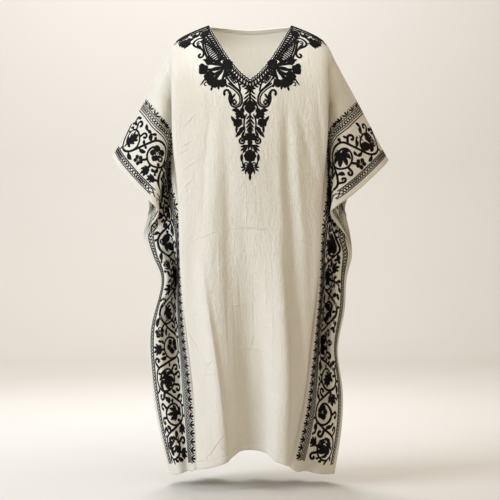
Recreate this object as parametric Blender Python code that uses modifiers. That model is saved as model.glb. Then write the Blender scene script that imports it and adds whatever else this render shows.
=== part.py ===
"""A worn kaftan: front and back cut with grown-on sleeves, seamed at the shoulders and sides.

Metres, +X to the wearer's left (the viewer's right), -Y to the front, +Z up. The origin is midway
between the two neck points, where the wearer's shoulders hold the garment up.
"""

import bpy
import numpy as np

# Driving dimensions
NECK_HALF_WIDTH = 0.110
V_NECK_DEPTH = 0.155
V_NECK_BOW = 0.6
BACK_NECK_DEPTH = 0.068
WALL = 0.0012
HEM_WALL = 0.0020
HEM_TURNING = 0.015
SEAM_GAP = 0.0003
FACING_WIDTH = 0.012
FACING_GAP = 0.0004
FACING_END = 0.006
FACING_WALL = 0.0010

# Flat distance from the centre line to each warp line that the cloth is described by, and the
# flat distance from the shoulder seam to each weft line.
WARP_LINES = np.array([0.0, 0.07, 0.14, 0.205, 0.265, 0.33, 0.39, 0.45, 0.51, 0.57])
WEFT_LINES = np.array([0.0, 0.046, 0.092, 0.135, 0.19, 0.24, 0.29, 0.335, 0.38, 0.45, 0.56, 0.665,
                       0.775, 0.89, 1.03])

# The sleeve openings end, and the side seams start, this far below the shoulder seam.
OPENING_END = 0.38

# How far out the body's two inner warp lines lie between the centre and the body's fold, and how
# far they have gone from the centre's depth and height to the fold's.
BODY_OUT = (0.36, 0.70)
BODY_BACK = (0.08, 0.42)
BODY_DROP = (0.10, 0.45)

# Both panels: where the body's fold runs on each side, and the inner line and the edge of that
# side's border. x is the distance out from the centre.
SIDE_COLUMNS = ("fold_x", "fold_z", "border_x", "border_z", "edge_x", "edge_z")
RIGHT_SIDE = {
    "shoulder seam": (0.197, -0.045, 0.284, -0.203, 0.368, -0.361),
    "over the arm": (0.199, -0.075, 0.263, -0.223, 0.350, -0.381),
    "upper sleeve": (0.201, -0.115, 0.235, -0.250, 0.311, -0.418),
    "sleeve": (0.202, -0.160, 0.210, -0.280, 0.267, -0.456),
    "sleeve corner": (0.202, -0.215, 0.205, -0.331, 0.217, -0.493),
    "turn": (0.202, -0.270, 0.204, -0.384, 0.215, -0.512),
    "under the arm": (0.200, -0.320, 0.203, -0.430, 0.237, -0.538),
    "sleeve end": (0.196, -0.365, 0.197, -0.472, 0.263, -0.572),
    "bulge": (0.191, -0.410, 0.190, -0.514, 0.271, -0.613),
    "waist": (0.186, -0.485, 0.185, -0.590, 0.256, -0.674),
    "hip": (0.183, -0.600, 0.181, -0.700, 0.250, -0.759),
    "thigh": (0.172, -0.715, 0.171, -0.809, 0.232, -0.865),
    "knee": (0.158, -0.825, 0.160, -0.913, 0.245, -0.976),
    "shin": (0.142, -0.965, 0.145, -1.030, 0.242, -1.077),
    "hem": (0.108, -1.150, 0.112, -1.173, 0.224, -1.196),
}
LEFT_SIDE = {
    "shoulder seam": (0.197, -0.045, 0.276, -0.197, 0.366, -0.351),
    "over the arm": (0.199, -0.075, 0.258, -0.217, 0.350, -0.377),
    "upper sleeve": (0.201, -0.115, 0.233, -0.248, 0.316, -0.416),
    "sleeve": (0.202, -0.160, 0.210, -0.281, 0.281, -0.453),
    "sleeve corner": (0.202, -0.215, 0.206, -0.329, 0.247, -0.487),
    "turn": (0.202, -0.270, 0.208, -0.378, 0.242, -0.503),
    "under the arm": (0.200, -0.320, 0.206, -0.415, 0.253, -0.521),
    "sleeve end": (0.196, -0.365, 0.198, -0.450, 0.271, -0.541),
    "bulge": (0.191, -0.410, 0.187, -0.488, 0.283, -0.568),
    "waist": (0.186, -0.485, 0.182, -0.553, 0.263, -0.619),
    "hip": (0.183, -0.600, 0.181, -0.652, 0.237, -0.688),
    "thigh": (0.176, -0.715, 0.173, -0.796, 0.267, -0.813),
    "knee": (0.163, -0.825, 0.158, -0.925, 0.263, -0.938),
    "shin": (0.146, -0.970, 0.147, -1.042, 0.241, -1.075),
    "hem": (0.136, -1.165, 0.141, -1.172, 0.212, -1.197),
}

# Depths of the body part of a panel. Between the body's fold and the side border lies a pleat:
# pleat_body is its side next to the body and pleat_border its side next to the border, in says how
# far each lies inside the fold, and pleat_lift how far both hang above the line from fold to border.
BODY_COLUMNS = ("centre_y", "centre_z", "fold_y", "pleat_body_in", "pleat_body_y", "pleat_border_in",
                "pleat_border_y", "pleat_lift")
FRONT_BODY = {
    "shoulder seam": (0.000, 0.015, 0.000, -0.030, 0.000, -0.058, 0.000, 0.000),
    "over the arm": (-0.042, -0.032, -0.038, -0.022, -0.042, -0.042, -0.042, 0.000),
    "upper sleeve": (-0.072, -0.072, -0.064, -0.004, -0.050, -0.016, -0.046, 0.000),
    "sleeve": (-0.092, -0.113, -0.080, 0.003, -0.042, -0.004, -0.026, 0.000),
    "sleeve corner": (-0.108, -0.165, -0.088, 0.009, -0.045, 0.008, -0.022, 0.000),
    "turn": (-0.118, -0.220, -0.092, 0.018, -0.050, 0.017, -0.028, 0.000),
    "under the arm": (-0.126, -0.270, -0.093, 0.025, -0.052, 0.024, -0.032, 0.000),
    "sleeve end": (-0.131, -0.315, -0.093, 0.029, -0.050, 0.028, -0.032, 0.000),
    "bulge": (-0.133, -0.360, -0.093, 0.031, -0.047, 0.030, -0.030, 0.000),
    "waist": (-0.133, -0.430, -0.093, 0.031, -0.046, 0.030, -0.028, 0.000),
    "hip": (-0.132, -0.545, -0.093, 0.033, -0.047, 0.033, -0.029, 0.000),
    "thigh": (-0.132, -0.660, -0.094, 0.038, -0.054, 0.038, -0.036, 0.004),
    "knee": (-0.134, -0.780, -0.100, 0.044, -0.066, 0.044, -0.047, 0.012),
    "shin": (-0.138, -0.930, -0.110, 0.053, -0.083, 0.053, -0.062, 0.024),
    "hem": (-0.142, -1.121, -0.128, 0.058, -0.088, 0.058, -0.064, 0.050),
}
BACK_BODY = {
    "shoulder seam": (0.000, 0.015, 0.000, -0.030, 0.000, -0.058, 0.000, 0.000),
    "over the arm": (0.050, 0.008, 0.044, -0.022, 0.046, -0.042, 0.044, 0.000),
    "upper sleeve": (0.088, -0.028, 0.070, -0.004, 0.060, -0.016, 0.056, 0.000),
    "sleeve": (0.104, -0.075, 0.080, 0.003, 0.054, -0.004, 0.046, 0.000),
    "sleeve corner": (0.113, -0.130, 0.085, 0.009, 0.052, 0.008, 0.036, 0.000),
    "turn": (0.116, -0.185, 0.086, 0.018, 0.052, 0.017, 0.034, 0.000),
    "under the arm": (0.116, -0.240, 0.086, 0.025, 0.051, 0.024, 0.033, 0.000),
    "sleeve end": (0.114, -0.290, 0.086, 0.029, 0.049, 0.028, 0.031, 0.000),
    "bulge": (0.112, -0.340, 0.086, 0.031, 0.047, 0.030, 0.030, 0.000),
    "waist": (0.112, -0.415, 0.087, 0.031, 0.046, 0.030, 0.028, 0.000),
    "hip": (0.115, -0.540, 0.088, 0.033, 0.047, 0.033, 0.029, 0.000),
    "thigh": (0.120, -0.660, 0.090, 0.038, 0.053, 0.038, 0.035, 0.004),
    "knee": (0.124, -0.780, 0.096, 0.044, 0.065, 0.044, 0.046, 0.012),
    "shin": (0.128, -0.930, 0.106, 0.046, 0.079, 0.046, 0.058, 0.024),
    "hem": (0.134, -1.118, 0.118, 0.051, 0.086, 0.051, 0.064, 0.044),
}

# Depths of the four warp lines of a panel's side borders, and how far the two inner ones lie from
# the border's inner line to its edge on each side.
BORDER_COLUMNS = ("border_y", "valley_y", "ridge_y", "edge_y", "right_valley_out", "right_ridge_out",
                  "left_valley_out", "left_ridge_out")
FRONT_BORDER = {
    "shoulder seam": (0.000, 0.000, 0.000, 0.000, 0.33, 0.66, 0.33, 0.66),
    "over the arm": (-0.035, -0.037, -0.035, -0.030, 0.33, 0.66, 0.33, 0.66),
    "upper sleeve": (-0.058, -0.063, -0.059, -0.050, 0.33, 0.66, 0.33, 0.66),
    "sleeve": (-0.040, -0.066, -0.073, -0.070, 0.28, 0.62, 0.28, 0.62),
    "sleeve corner": (-0.015, -0.034, -0.070, -0.086, 0.50, 0.85, 0.45, 0.75),
    "turn": (-0.022, -0.002, -0.030, -0.062, 1.20, 2.10, 0.45, 0.80),
    "under the arm": (-0.044, 0.008, 0.000, -0.026, 0.60, 1.00, 0.40, 0.80),
    "sleeve end": (-0.062, -0.002, 0.004, -0.002, 0.38, 0.72, 0.36, 0.72),
    "bulge": (-0.074, -0.010, -0.002, 0.004, 0.36, 0.72, 0.36, 0.72),
    "waist": (-0.076, -0.010, -0.035, -0.005, 0.32, 0.68, 0.32, 0.68),
    "hip": (-0.077, -0.006, -0.050, -0.012, 0.30, 0.66, 0.30, 0.66),
    "thigh": (-0.078, -0.010, -0.052, -0.012, 0.34, 0.70, 0.34, 0.70),
    "knee": (-0.082, -0.026, -0.056, -0.008, 0.34, 0.68, 0.34, 0.68),
    "shin": (-0.084, -0.044, -0.058, -0.003, 0.33, 0.67, 0.33, 0.67),
    "hem": (-0.090, -0.054, -0.058, 0.000, 0.31, 0.65, 0.31, 0.65),
}
BACK_BORDER = {
    "shoulder seam": (0.000, 0.000, 0.000, 0.000, 0.33, 0.66, 0.33, 0.66),
    "over the arm": (0.038, 0.039, 0.037, 0.033, 0.33, 0.66, 0.33, 0.66),
    "upper sleeve": (0.064, 0.066, 0.060, 0.052, 0.33, 0.66, 0.33, 0.66),
    "sleeve": (0.062, 0.070, 0.070, 0.058, 0.30, 0.64, 0.30, 0.64),
    "sleeve corner": (0.046, 0.060, 0.074, 0.056, 0.34, 0.66, 0.34, 0.66),
    "turn": (0.048, 0.036, 0.070, 0.064, 0.36, 0.68, 0.36, 0.68),
    "under the arm": (0.054, 0.022, 0.060, 0.050, 0.38, 0.68, 0.38, 0.68),
    "sleeve end": (0.062, 0.018, 0.050, 0.026, 0.38, 0.70, 0.38, 0.70),
    "bulge": (0.067, 0.020, 0.042, 0.004, 0.38, 0.70, 0.38, 0.70),
    "waist": (0.070, 0.018, 0.042, -0.005, 0.36, 0.70, 0.36, 0.70),
    "hip": (0.072, 0.014, 0.044, -0.012, 0.36, 0.70, 0.36, 0.70),
    "thigh": (0.074, 0.018, 0.048, -0.012, 0.36, 0.70, 0.36, 0.70),
    "knee": (0.078, 0.030, 0.052, -0.008, 0.34, 0.68, 0.34, 0.68),
    "shin": (0.080, 0.044, 0.058, -0.003, 0.33, 0.67, 0.33, 0.67),
    "hem": (0.086, 0.052, 0.058, 0.000, 0.31, 0.65, 0.31, 0.65),
}

# The back's sleeve edges hang straighter than the front's, which fold in under the arm: where they
# run instead.
BACK_EDGE_COLUMNS = ("right_x", "right_z", "left_x", "left_z")
BACK_EDGE = {
    "over the arm": (0.346, -0.381, 0.346, -0.379),
    "upper sleeve": (0.309, -0.411, 0.312, -0.411),
    "sleeve": (0.273, -0.443, 0.283, -0.441),
    "sleeve corner": (0.256, -0.485, 0.272, -0.482),
    "turn": (0.261, -0.511, 0.277, -0.509),
    "under the arm": (0.266, -0.536, 0.283, -0.533),
    "sleeve end": (0.270, -0.567, 0.286, -0.551),
}

# Hanging folds of the body: the flat distance of each from the centre at the hem and at its upper
# end, how wide it is, how far it stands out (or in, below zero) and hangs down at the hem, and how
# far below the shoulder it starts. A fold grows by a power of its length and falls off to its
# sides by a power of the distance, which keeps its top broad.
FOLD_COLUMNS = ("hem_u", "top_u", "width", "out", "drop", "start_v")
FOLD_GROWTH = 1.3
FOLD_FLATNESS = 3
FRONT_FOLDS = {
    "centre valley": (0.004, -0.006, 0.079, -0.046, 0.000, 0.36),
    "left ridge": (-0.118, -0.080, 0.055, 0.016, 0.019, 0.30),
    "right ridge": (0.142, -0.015, 0.047, 0.024, 0.012, 0.30),
}
BACK_FOLDS = {
    "centre ridge": (0.010, 0.010, 0.050, 0.020, 0.006, 0.30),
    "left valley": (-0.078, -0.064, 0.045, -0.026, 0.000, 0.34),
    "right valley": (0.090, 0.080, 0.045, -0.024, 0.000, 0.34),
    "left ridge": (-0.150, -0.140, 0.045, 0.010, 0.004, 0.40),
}


def spline_weights(knots, at):
    """Weights of each knot at each value: a cubic through the knots, with the slope at a knot
    taken from its two neighbours."""
    count = len(knots)
    step = np.diff(knots)
    slope = np.zeros((count, count))
    for k in range(count):
        before, after = max(k - 1, 0), min(k + 1, count - 1)
        slope[k, after] += 1.0 / (knots[after] - knots[before])
        slope[k, before] -= 1.0 / (knots[after] - knots[before])
    cell = np.clip(np.searchsorted(knots, at, side="right") - 1, 0, count - 2)
    width = step[cell]
    t = np.clip((at - knots[cell]) / width, 0.0, 1.0)
    value = np.eye(count)
    return ((2 * t**3 - 3 * t**2 + 1)[:, None] * value[cell]
            + (3 * t**2 - 2 * t**3)[:, None] * value[cell + 1]
            + ((t**3 - 2 * t**2 + t) * width)[:, None] * slope[cell]
            + ((t**3 - t**2) * width)[:, None] * slope[cell + 1])


def half_cage(side, body, border, back_edge):
    """Points of one half of a panel, one row for each weft line and one column for each warp line."""
    rows = []
    for name, section in (RIGHT_SIDE if side == "right" else LEFT_SIDE).items():
        s = dict(zip(SIDE_COLUMNS, section))
        b = dict(zip(BODY_COLUMNS, body[name]))
        d = dict(zip(BORDER_COLUMNS, border[name]))
        if name in back_edge:
            e = dict(zip(BACK_EDGE_COLUMNS, back_edge[name]))
            s["edge_x"], s["edge_z"] = e[side + "_x"], e[side + "_z"]
        row = [(0.0, b["centre_y"], b["centre_z"])]
        for share_out, share_back, share_down in zip(BODY_OUT, BODY_BACK, BODY_DROP):
            row.append((share_out * s["fold_x"],
                        b["centre_y"] + share_back * (b["fold_y"] - b["centre_y"]),
                        b["centre_z"] + share_down * (s["fold_z"] - b["centre_z"])))
        row.append((s["fold_x"], b["fold_y"], s["fold_z"]))
        for line, share_down in (("pleat_body", 1 / 3), ("pleat_border", 2 / 3)):
            row.append((s["fold_x"] - b[line + "_in"],
                        b[line + "_y"],
                        s["fold_z"] + share_down * (s["border_z"] - s["fold_z"]) + b["pleat_lift"]))
        row.append((s["border_x"], d["border_y"], s["border_z"]))
        for line, share_down in (("valley", 1 / 3), ("ridge", 2 / 3)):
            row.append((s["border_x"] + d[f"{side}_{line}_out"] * (s["edge_x"] - s["border_x"]),
                        d[line + "_y"],
                        s["border_z"] + share_down * (s["edge_z"] - s["border_z"])))
        row.append((s["edge_x"], d["edge_y"], s["edge_z"]))
        rows.append(row)
    return np.array(rows)


def panel_cage(body, border, back_edge):
    """The whole panel's points, from its left edge to its right edge."""
    right = half_cage("right", body, border, back_edge)
    left = half_cage("left", body, border, back_edge) * (-1.0, 1.0, 1.0)
    return np.concatenate([left[:, :0:-1], right], axis=1)


PANEL_WARP = np.concatenate([-WARP_LINES[:0:-1], WARP_LINES])
FRONT = {"cage": panel_cage(FRONT_BODY, FRONT_BORDER, {}), "folds": FRONT_FOLDS, "out": -1.0}
BACK = {"cage": panel_cage(BACK_BODY, BACK_BORDER, BACK_EDGE), "folds": BACK_FOLDS, "out": 1.0}


def hung_points(panel, u, v):
    """Points of a panel at flat distances u across from the centre and v down from the shoulder:
    a cubic surface through the cage, with the body's hanging folds added."""
    across = spline_weights(PANEL_WARP, u.ravel())
    down = spline_weights(WEFT_LINES, v.ravel())
    points = np.einsum("ni,ijk,nj->nk", down, panel["cage"], across).reshape(*u.shape, 3)
    for fold in panel["folds"].values():
        f = dict(zip(FOLD_COLUMNS, fold))
        fall = np.clip((v - f["start_v"]) / (WEFT_LINES[-1] - f["start_v"]), 0.0, 1.0)
        centre = f["top_u"] + (f["hem_u"] - f["top_u"]) * fall
        swell = fall**FOLD_GROWTH * np.exp(-np.abs((u - centre) / f["width"]) ** FOLD_FLATNESS)
        points[..., 1] += panel["out"] * f["out"] * swell
        points[..., 2] -= f["drop"] * swell
    return points


def cloth_points(panel, u, v):
    """Points of a panel after it is sewn: below the sleeve openings both panels' edges are drawn onto
    the line midway between them, and half the seam's gap is left at every seam."""
    points = hung_points(panel, u, v)
    edge_u = np.sign(u) * WARP_LINES[-1]
    near = np.clip((np.abs(u) - WARP_LINES[-2]) / (WARP_LINES[-1] - WARP_LINES[-2]), 0.0, 1.0)
    drawn = np.where(v > OPENING_END, near**2 * (3 - 2 * near), 0.0)
    other = BACK if panel is FRONT else FRONT
    points += drawn[..., None] * (hung_points(other, edge_u, v) - hung_points(panel, edge_u, v)) / 2
    points[..., 1] += panel["out"] * SEAM_GAP / 2
    return points


NORMAL_STEP = 0.0005


def cloth_normals(panel, u, v):
    """Unit directions out of the garment at the same places, from the cross product of two steps."""
    across = cloth_points(panel, u + NORMAL_STEP, v) - cloth_points(panel, u - NORMAL_STEP, v)
    down = cloth_points(panel, u, v + NORMAL_STEP) - cloth_points(panel, u, v - NORMAL_STEP)
    normal = np.cross(down, across) * -panel["out"]
    return normal / np.linalg.norm(normal, axis=-1, keepdims=True)


# Distances down from the shoulder line at which a warp line is tested for the neckline's cut.
NECK_SEARCH = np.linspace(0.0, 0.30, 301)


def neck_start(panel, u):
    """How far below the shoulder seam a panel starts: at the V in front, whose depth at a share s of
    the way in is s + bow * (sin(pi * s / 2) - s), and at a scooped curve behind."""
    start = np.zeros_like(u)
    for k, across in enumerate(u):
        line = cloth_points(panel, np.full_like(NECK_SEARCH, across), NECK_SEARCH)
        inside = 1.0 - np.abs(line[:, 0]) / NECK_HALF_WIDTH
        if panel is FRONT:
            bowed = inside + V_NECK_BOW * (np.sin(np.pi / 2 * np.clip(inside, 0.0, 1.0)) - inside)
            height = line[:, 2] + V_NECK_DEPTH * bowed
        else:
            reach = np.clip(1.0 - (line[:, 0] / NECK_HALF_WIDTH) ** 2, 0.0, 1.0)
            height = BACK_NECK_DEPTH * np.sqrt(reach) - line[:, 1]
        if inside[0] > 0 and height[0] > 0:
            below = int(np.argmax(height <= 0))
            start[k] = np.interp(0.0, -height[below - 1:below + 1], NECK_SEARCH[below - 1:below + 1])
    return start


def between(stations, parts):
    """Values that split each gap between stations into its number of parts."""
    found = [np.linspace(a, b, n, endpoint=False) for a, b, n in zip(stations, stations[1:], parts)]
    return np.concatenate([*found, stations[-1:]])


# How many grid cells lie between one station and the next, across half a panel and down it.
PARTS_ACROSS = (3, 2, 1, 3, 3, 2, 2, 2, 2, 2, 1)
PARTS_DOWN = (1, 2, 2, 2, 2, 2, 2, 2, 2, 2, 3, 3, 3, 3, 3, 1)


def panel_grid(panel):
    """Flat distances u and v of a panel's grid. Its top row follows the neck and shoulders, and its
    second row lies the facing's width below them."""
    across = np.array([*WARP_LINES[:2], NECK_HALF_WIDTH, *WARP_LINES[2:-1],
                       WARP_LINES[-1] - HEM_TURNING, WARP_LINES[-1]])
    down = np.array([0.0, FACING_WIDTH, *WEFT_LINES[1:-1], WEFT_LINES[-1] - HEM_TURNING, WEFT_LINES[-1]])
    half = between(across, PARTS_ACROSS)
    u = np.concatenate([-half[:0:-1], half])
    v = between(down, PARTS_DOWN)
    start = neck_start(panel, u)
    return np.broadcast_to(u, (len(v), len(u))), start + v[:, None] * (1 - start / WEFT_LINES[-1])


def sheet_mesh(name, points, flip):
    """A mesh of one sheet of cloth from a grid of points."""
    rows, columns = points.shape[:2]
    index = np.arange(rows * columns).reshape(rows, columns)
    corners = [index[:-1, :-1], index[1:, :-1], index[1:, 1:], index[:-1, 1:]]
    faces = np.stack([c.ravel() for c in (corners[::-1] if flip else corners)], axis=1)
    mesh = bpy.data.meshes.new(name)
    mesh.from_pydata(points.reshape(-1, 3).tolist(), [], faces.tolist())
    mesh.shade_smooth()
    return mesh


def cloth_material(name, colour, roughness):
    """A woven cloth's plain material."""
    material = bpy.data.materials.new(name)
    material.use_nodes = True
    shader = material.node_tree.nodes["Principled BSDF"]
    shader.inputs["Base Color"].default_value = (*colour, 1.0)
    shader.inputs["Roughness"].default_value = roughness
    shader.inputs["Metallic"].default_value = 0.0
    return material


def add_cloth(name, mesh, wall, offset, material, collection):
    """An object whose sheet gets a wall, outwards with an offset of 1 and inwards with -1."""
    obj = bpy.data.objects.new(name, mesh)
    collection.objects.link(obj)
    mesh.materials.append(material)
    solidify = obj.modifiers.new("wall", "SOLIDIFY")
    solidify.thickness = wall
    solidify.offset = offset
    return obj


def add_panel(name, panel, material, collection):
    """The front or the back: its wall lies outside the sewn surface and is doubled at the hems."""
    u, v = panel_grid(panel)
    mesh = sheet_mesh(name, cloth_points(panel, u, v), flip=panel is BACK)
    obj = add_cloth(name, mesh, HEM_WALL, 1.0, material, collection)
    hem = (np.abs(u) > WARP_LINES[-1] - HEM_TURNING / 2) | (v > WEFT_LINES[-1] - HEM_TURNING / 2)
    group = obj.vertex_groups.new(name="turned hem")
    group.add(np.flatnonzero(hem).tolist(), 1.0, "REPLACE")
    group.add(np.flatnonzero(~hem).tolist(), WALL / HEM_WALL, "REPLACE")
    obj.modifiers["wall"].vertex_group = group.name


def add_facing(name, panel, material, collection):
    """The bias strip turned inside a neckline: the panel's own first two rows, moved inside it."""
    u, v = panel_grid(panel)
    columns = np.abs(u[0]) < NECK_HALF_WIDTH - FACING_END
    u, v = u[:2, columns], v[:2, columns]
    points = cloth_points(panel, u, v) - FACING_GAP * cloth_normals(panel, u, v)
    mesh = sheet_mesh(name, points, flip=panel is BACK)
    add_cloth(name, mesh, FACING_WALL, -1.0, material, collection)


def main():
    for obj in list(bpy.data.objects):
        bpy.data.objects.remove(obj)
    collection = bpy.data.collections.new("kaftan")
    bpy.context.scene.collection.children.link(collection)
    cotton = cloth_material("cream cotton", (0.84, 0.80, 0.71), 0.9)
    tape = cloth_material("cream neck tape", (0.80, 0.76, 0.67), 0.85)
    add_panel("front_panel", FRONT, cotton, collection)
    add_panel("back_panel", BACK, cotton.copy(), collection)
    add_facing("front_neck_facing", FRONT, tape, collection)
    add_facing("back_neck_facing", BACK, tape.copy(), collection)


main()
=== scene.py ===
"""A worn kaftan of crinkled cream cotton with black chain-stitch embroidery, and its studio.

Metres, +X to the wearer's left (the viewer's right), -Y to the front, +Z up. The origin is midway
between the two neck points. A flat place (u, v) on either panel is the distance across from its centre
line and the distance down from the shoulder seam, as it was cut.
"""

import math

import bpy
import numpy as np
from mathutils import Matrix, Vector


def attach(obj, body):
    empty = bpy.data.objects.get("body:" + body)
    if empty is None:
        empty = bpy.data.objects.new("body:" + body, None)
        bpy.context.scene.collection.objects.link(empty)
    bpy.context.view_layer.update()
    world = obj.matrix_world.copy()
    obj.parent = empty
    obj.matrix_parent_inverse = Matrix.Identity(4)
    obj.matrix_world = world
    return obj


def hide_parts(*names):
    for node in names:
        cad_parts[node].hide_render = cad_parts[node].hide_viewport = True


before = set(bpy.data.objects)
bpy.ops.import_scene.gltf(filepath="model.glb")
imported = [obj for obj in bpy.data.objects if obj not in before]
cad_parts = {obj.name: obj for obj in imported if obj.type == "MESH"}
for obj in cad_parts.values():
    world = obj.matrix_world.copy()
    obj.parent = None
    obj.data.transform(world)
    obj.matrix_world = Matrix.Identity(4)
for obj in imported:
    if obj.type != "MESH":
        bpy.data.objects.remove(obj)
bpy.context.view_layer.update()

# Front and back panels: each is one cut of undyed crinkled cotton with its sleeves grown on, sewn to
# the other at the shoulders and sides. They hang from the wearer's shoulders in the folds below, and
# every edge but the neck is a turned hem, thicker than the cloth.

NECK_HALF_WIDTH = 0.110
V_NECK_DEPTH = 0.155
V_NECK_BOW = 0.6
BACK_NECK_DEPTH = 0.068
WALL = 0.0012
HEM_WALL = 0.0020
HEM_TURNING = 0.015
SEAM_GAP = 0.0003
OPENING_END = 0.38

# Flat distances of the warp and weft lines that the hanging cloth is described by.
WARP_LINES = np.array([0.0, 0.07, 0.14, 0.205, 0.265, 0.33, 0.39, 0.45, 0.51, 0.57])
WEFT_LINES = np.array([0.0, 0.046, 0.092, 0.135, 0.19, 0.24, 0.29, 0.335, 0.38, 0.45, 0.56, 0.665,
                       0.775, 0.89, 1.03])
EDGE_U = WARP_LINES[-1]
HEM_V = WEFT_LINES[-1]

# How far out the body's two inner warp lines lie between the centre and the body's fold, and how
# far they have gone from the centre's depth and height to the fold's.
BODY_OUT = (0.36, 0.70)
BODY_BACK = (0.08, 0.42)
BODY_DROP = (0.10, 0.45)

# Both panels: where the body's fold runs on each side, and the inner line and the edge of that
# side's border. x is the distance out from the centre.
SIDE_COLUMNS = ("fold_x", "fold_z", "border_x", "border_z", "edge_x", "edge_z")
RIGHT_SIDE = {
    "shoulder seam": (0.197, -0.045, 0.284, -0.203, 0.368, -0.361),
    "over the arm": (0.199, -0.075, 0.263, -0.223, 0.350, -0.381),
    "upper sleeve": (0.201, -0.115, 0.235, -0.250, 0.311, -0.418),
    "sleeve": (0.202, -0.160, 0.210, -0.280, 0.267, -0.456),
    "sleeve corner": (0.202, -0.215, 0.205, -0.331, 0.217, -0.493),
    "turn": (0.202, -0.270, 0.204, -0.384, 0.215, -0.512),
    "under the arm": (0.200, -0.320, 0.203, -0.430, 0.237, -0.538),
    "sleeve end": (0.196, -0.365, 0.197, -0.472, 0.263, -0.572),
    "bulge": (0.191, -0.410, 0.190, -0.514, 0.271, -0.613),
    "waist": (0.186, -0.485, 0.185, -0.590, 0.256, -0.674),
    "hip": (0.183, -0.600, 0.181, -0.700, 0.250, -0.759),
    "thigh": (0.172, -0.715, 0.171, -0.809, 0.232, -0.865),
    "knee": (0.158, -0.825, 0.160, -0.913, 0.245, -0.976),
    "shin": (0.142, -0.965, 0.145, -1.030, 0.242, -1.077),
    "hem": (0.108, -1.150, 0.112, -1.173, 0.224, -1.196),
}
LEFT_SIDE = {
    "shoulder seam": (0.197, -0.045, 0.276, -0.197, 0.366, -0.351),
    "over the arm": (0.199, -0.075, 0.258, -0.217, 0.350, -0.377),
    "upper sleeve": (0.201, -0.115, 0.233, -0.248, 0.316, -0.416),
    "sleeve": (0.202, -0.160, 0.210, -0.281, 0.281, -0.453),
    "sleeve corner": (0.202, -0.215, 0.206, -0.329, 0.247, -0.487),
    "turn": (0.202, -0.270, 0.208, -0.378, 0.242, -0.503),
    "under the arm": (0.200, -0.320, 0.206, -0.415, 0.253, -0.521),
    "sleeve end": (0.196, -0.365, 0.198, -0.450, 0.271, -0.541),
    "bulge": (0.191, -0.410, 0.187, -0.488, 0.283, -0.568),
    "waist": (0.186, -0.485, 0.182, -0.553, 0.263, -0.619),
    "hip": (0.183, -0.600, 0.181, -0.652, 0.237, -0.688),
    "thigh": (0.176, -0.715, 0.173, -0.796, 0.267, -0.813),
    "knee": (0.163, -0.825, 0.158, -0.925, 0.263, -0.938),
    "shin": (0.146, -0.970, 0.147, -1.042, 0.241, -1.075),
    "hem": (0.136, -1.165, 0.141, -1.172, 0.212, -1.197),
}

# Depths of the body part of a panel. Between the body's fold and the side border lies a pleat:
# pleat_body is its side next to the body and pleat_border its side next to the border, in says how
# far each lies inside the fold, and pleat_lift how far both hang above the line from fold to border.
BODY_COLUMNS = ("centre_y", "centre_z", "fold_y", "pleat_body_in", "pleat_body_y", "pleat_border_in",
                "pleat_border_y", "pleat_lift")
FRONT_BODY = {
    "shoulder seam": (0.000, 0.015, 0.000, -0.030, 0.000, -0.058, 0.000, 0.000),
    "over the arm": (-0.042, -0.032, -0.038, -0.022, -0.042, -0.042, -0.042, 0.000),
    "upper sleeve": (-0.072, -0.072, -0.064, -0.004, -0.050, -0.016, -0.046, 0.000),
    "sleeve": (-0.092, -0.113, -0.080, 0.003, -0.042, -0.004, -0.026, 0.000),
    "sleeve corner": (-0.108, -0.165, -0.088, 0.009, -0.045, 0.008, -0.022, 0.000),
    "turn": (-0.118, -0.220, -0.092, 0.018, -0.050, 0.017, -0.028, 0.000),
    "under the arm": (-0.126, -0.270, -0.093, 0.025, -0.052, 0.024, -0.032, 0.000),
    "sleeve end": (-0.131, -0.315, -0.093, 0.029, -0.050, 0.028, -0.032, 0.000),
    "bulge": (-0.133, -0.360, -0.093, 0.031, -0.047, 0.030, -0.030, 0.000),
    "waist": (-0.133, -0.430, -0.093, 0.031, -0.046, 0.030, -0.028, 0.000),
    "hip": (-0.132, -0.545, -0.093, 0.033, -0.047, 0.033, -0.029, 0.000),
    "thigh": (-0.132, -0.660, -0.094, 0.038, -0.054, 0.038, -0.036, 0.004),
    "knee": (-0.134, -0.780, -0.100, 0.044, -0.066, 0.044, -0.047, 0.012),
    "shin": (-0.138, -0.930, -0.110, 0.053, -0.083, 0.053, -0.062, 0.024),
    "hem": (-0.142, -1.121, -0.128, 0.058, -0.088, 0.058, -0.064, 0.050),
}
BACK_BODY = {
    "shoulder seam": (0.000, 0.015, 0.000, -0.030, 0.000, -0.058, 0.000, 0.000),
    "over the arm": (0.050, 0.008, 0.044, -0.022, 0.046, -0.042, 0.044, 0.000),
    "upper sleeve": (0.088, -0.028, 0.070, -0.004, 0.060, -0.016, 0.056, 0.000),
    "sleeve": (0.104, -0.075, 0.080, 0.003, 0.054, -0.004, 0.046, 0.000),
    "sleeve corner": (0.113, -0.130, 0.085, 0.009, 0.052, 0.008, 0.036, 0.000),
    "turn": (0.116, -0.185, 0.086, 0.018, 0.052, 0.017, 0.034, 0.000),
    "under the arm": (0.116, -0.240, 0.086, 0.025, 0.051, 0.024, 0.033, 0.000),
    "sleeve end": (0.114, -0.290, 0.086, 0.029, 0.049, 0.028, 0.031, 0.000),
    "bulge": (0.112, -0.340, 0.086, 0.031, 0.047, 0.030, 0.030, 0.000),
    "waist": (0.112, -0.415, 0.087, 0.031, 0.046, 0.030, 0.028, 0.000),
    "hip": (0.115, -0.540, 0.088, 0.033, 0.047, 0.033, 0.029, 0.000),
    "thigh": (0.120, -0.660, 0.090, 0.038, 0.053, 0.038, 0.035, 0.004),
    "knee": (0.124, -0.780, 0.096, 0.044, 0.065, 0.044, 0.046, 0.012),
    "shin": (0.128, -0.930, 0.106, 0.046, 0.079, 0.046, 0.058, 0.024),
    "hem": (0.134, -1.118, 0.118, 0.051, 0.086, 0.051, 0.064, 0.044),
}

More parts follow.
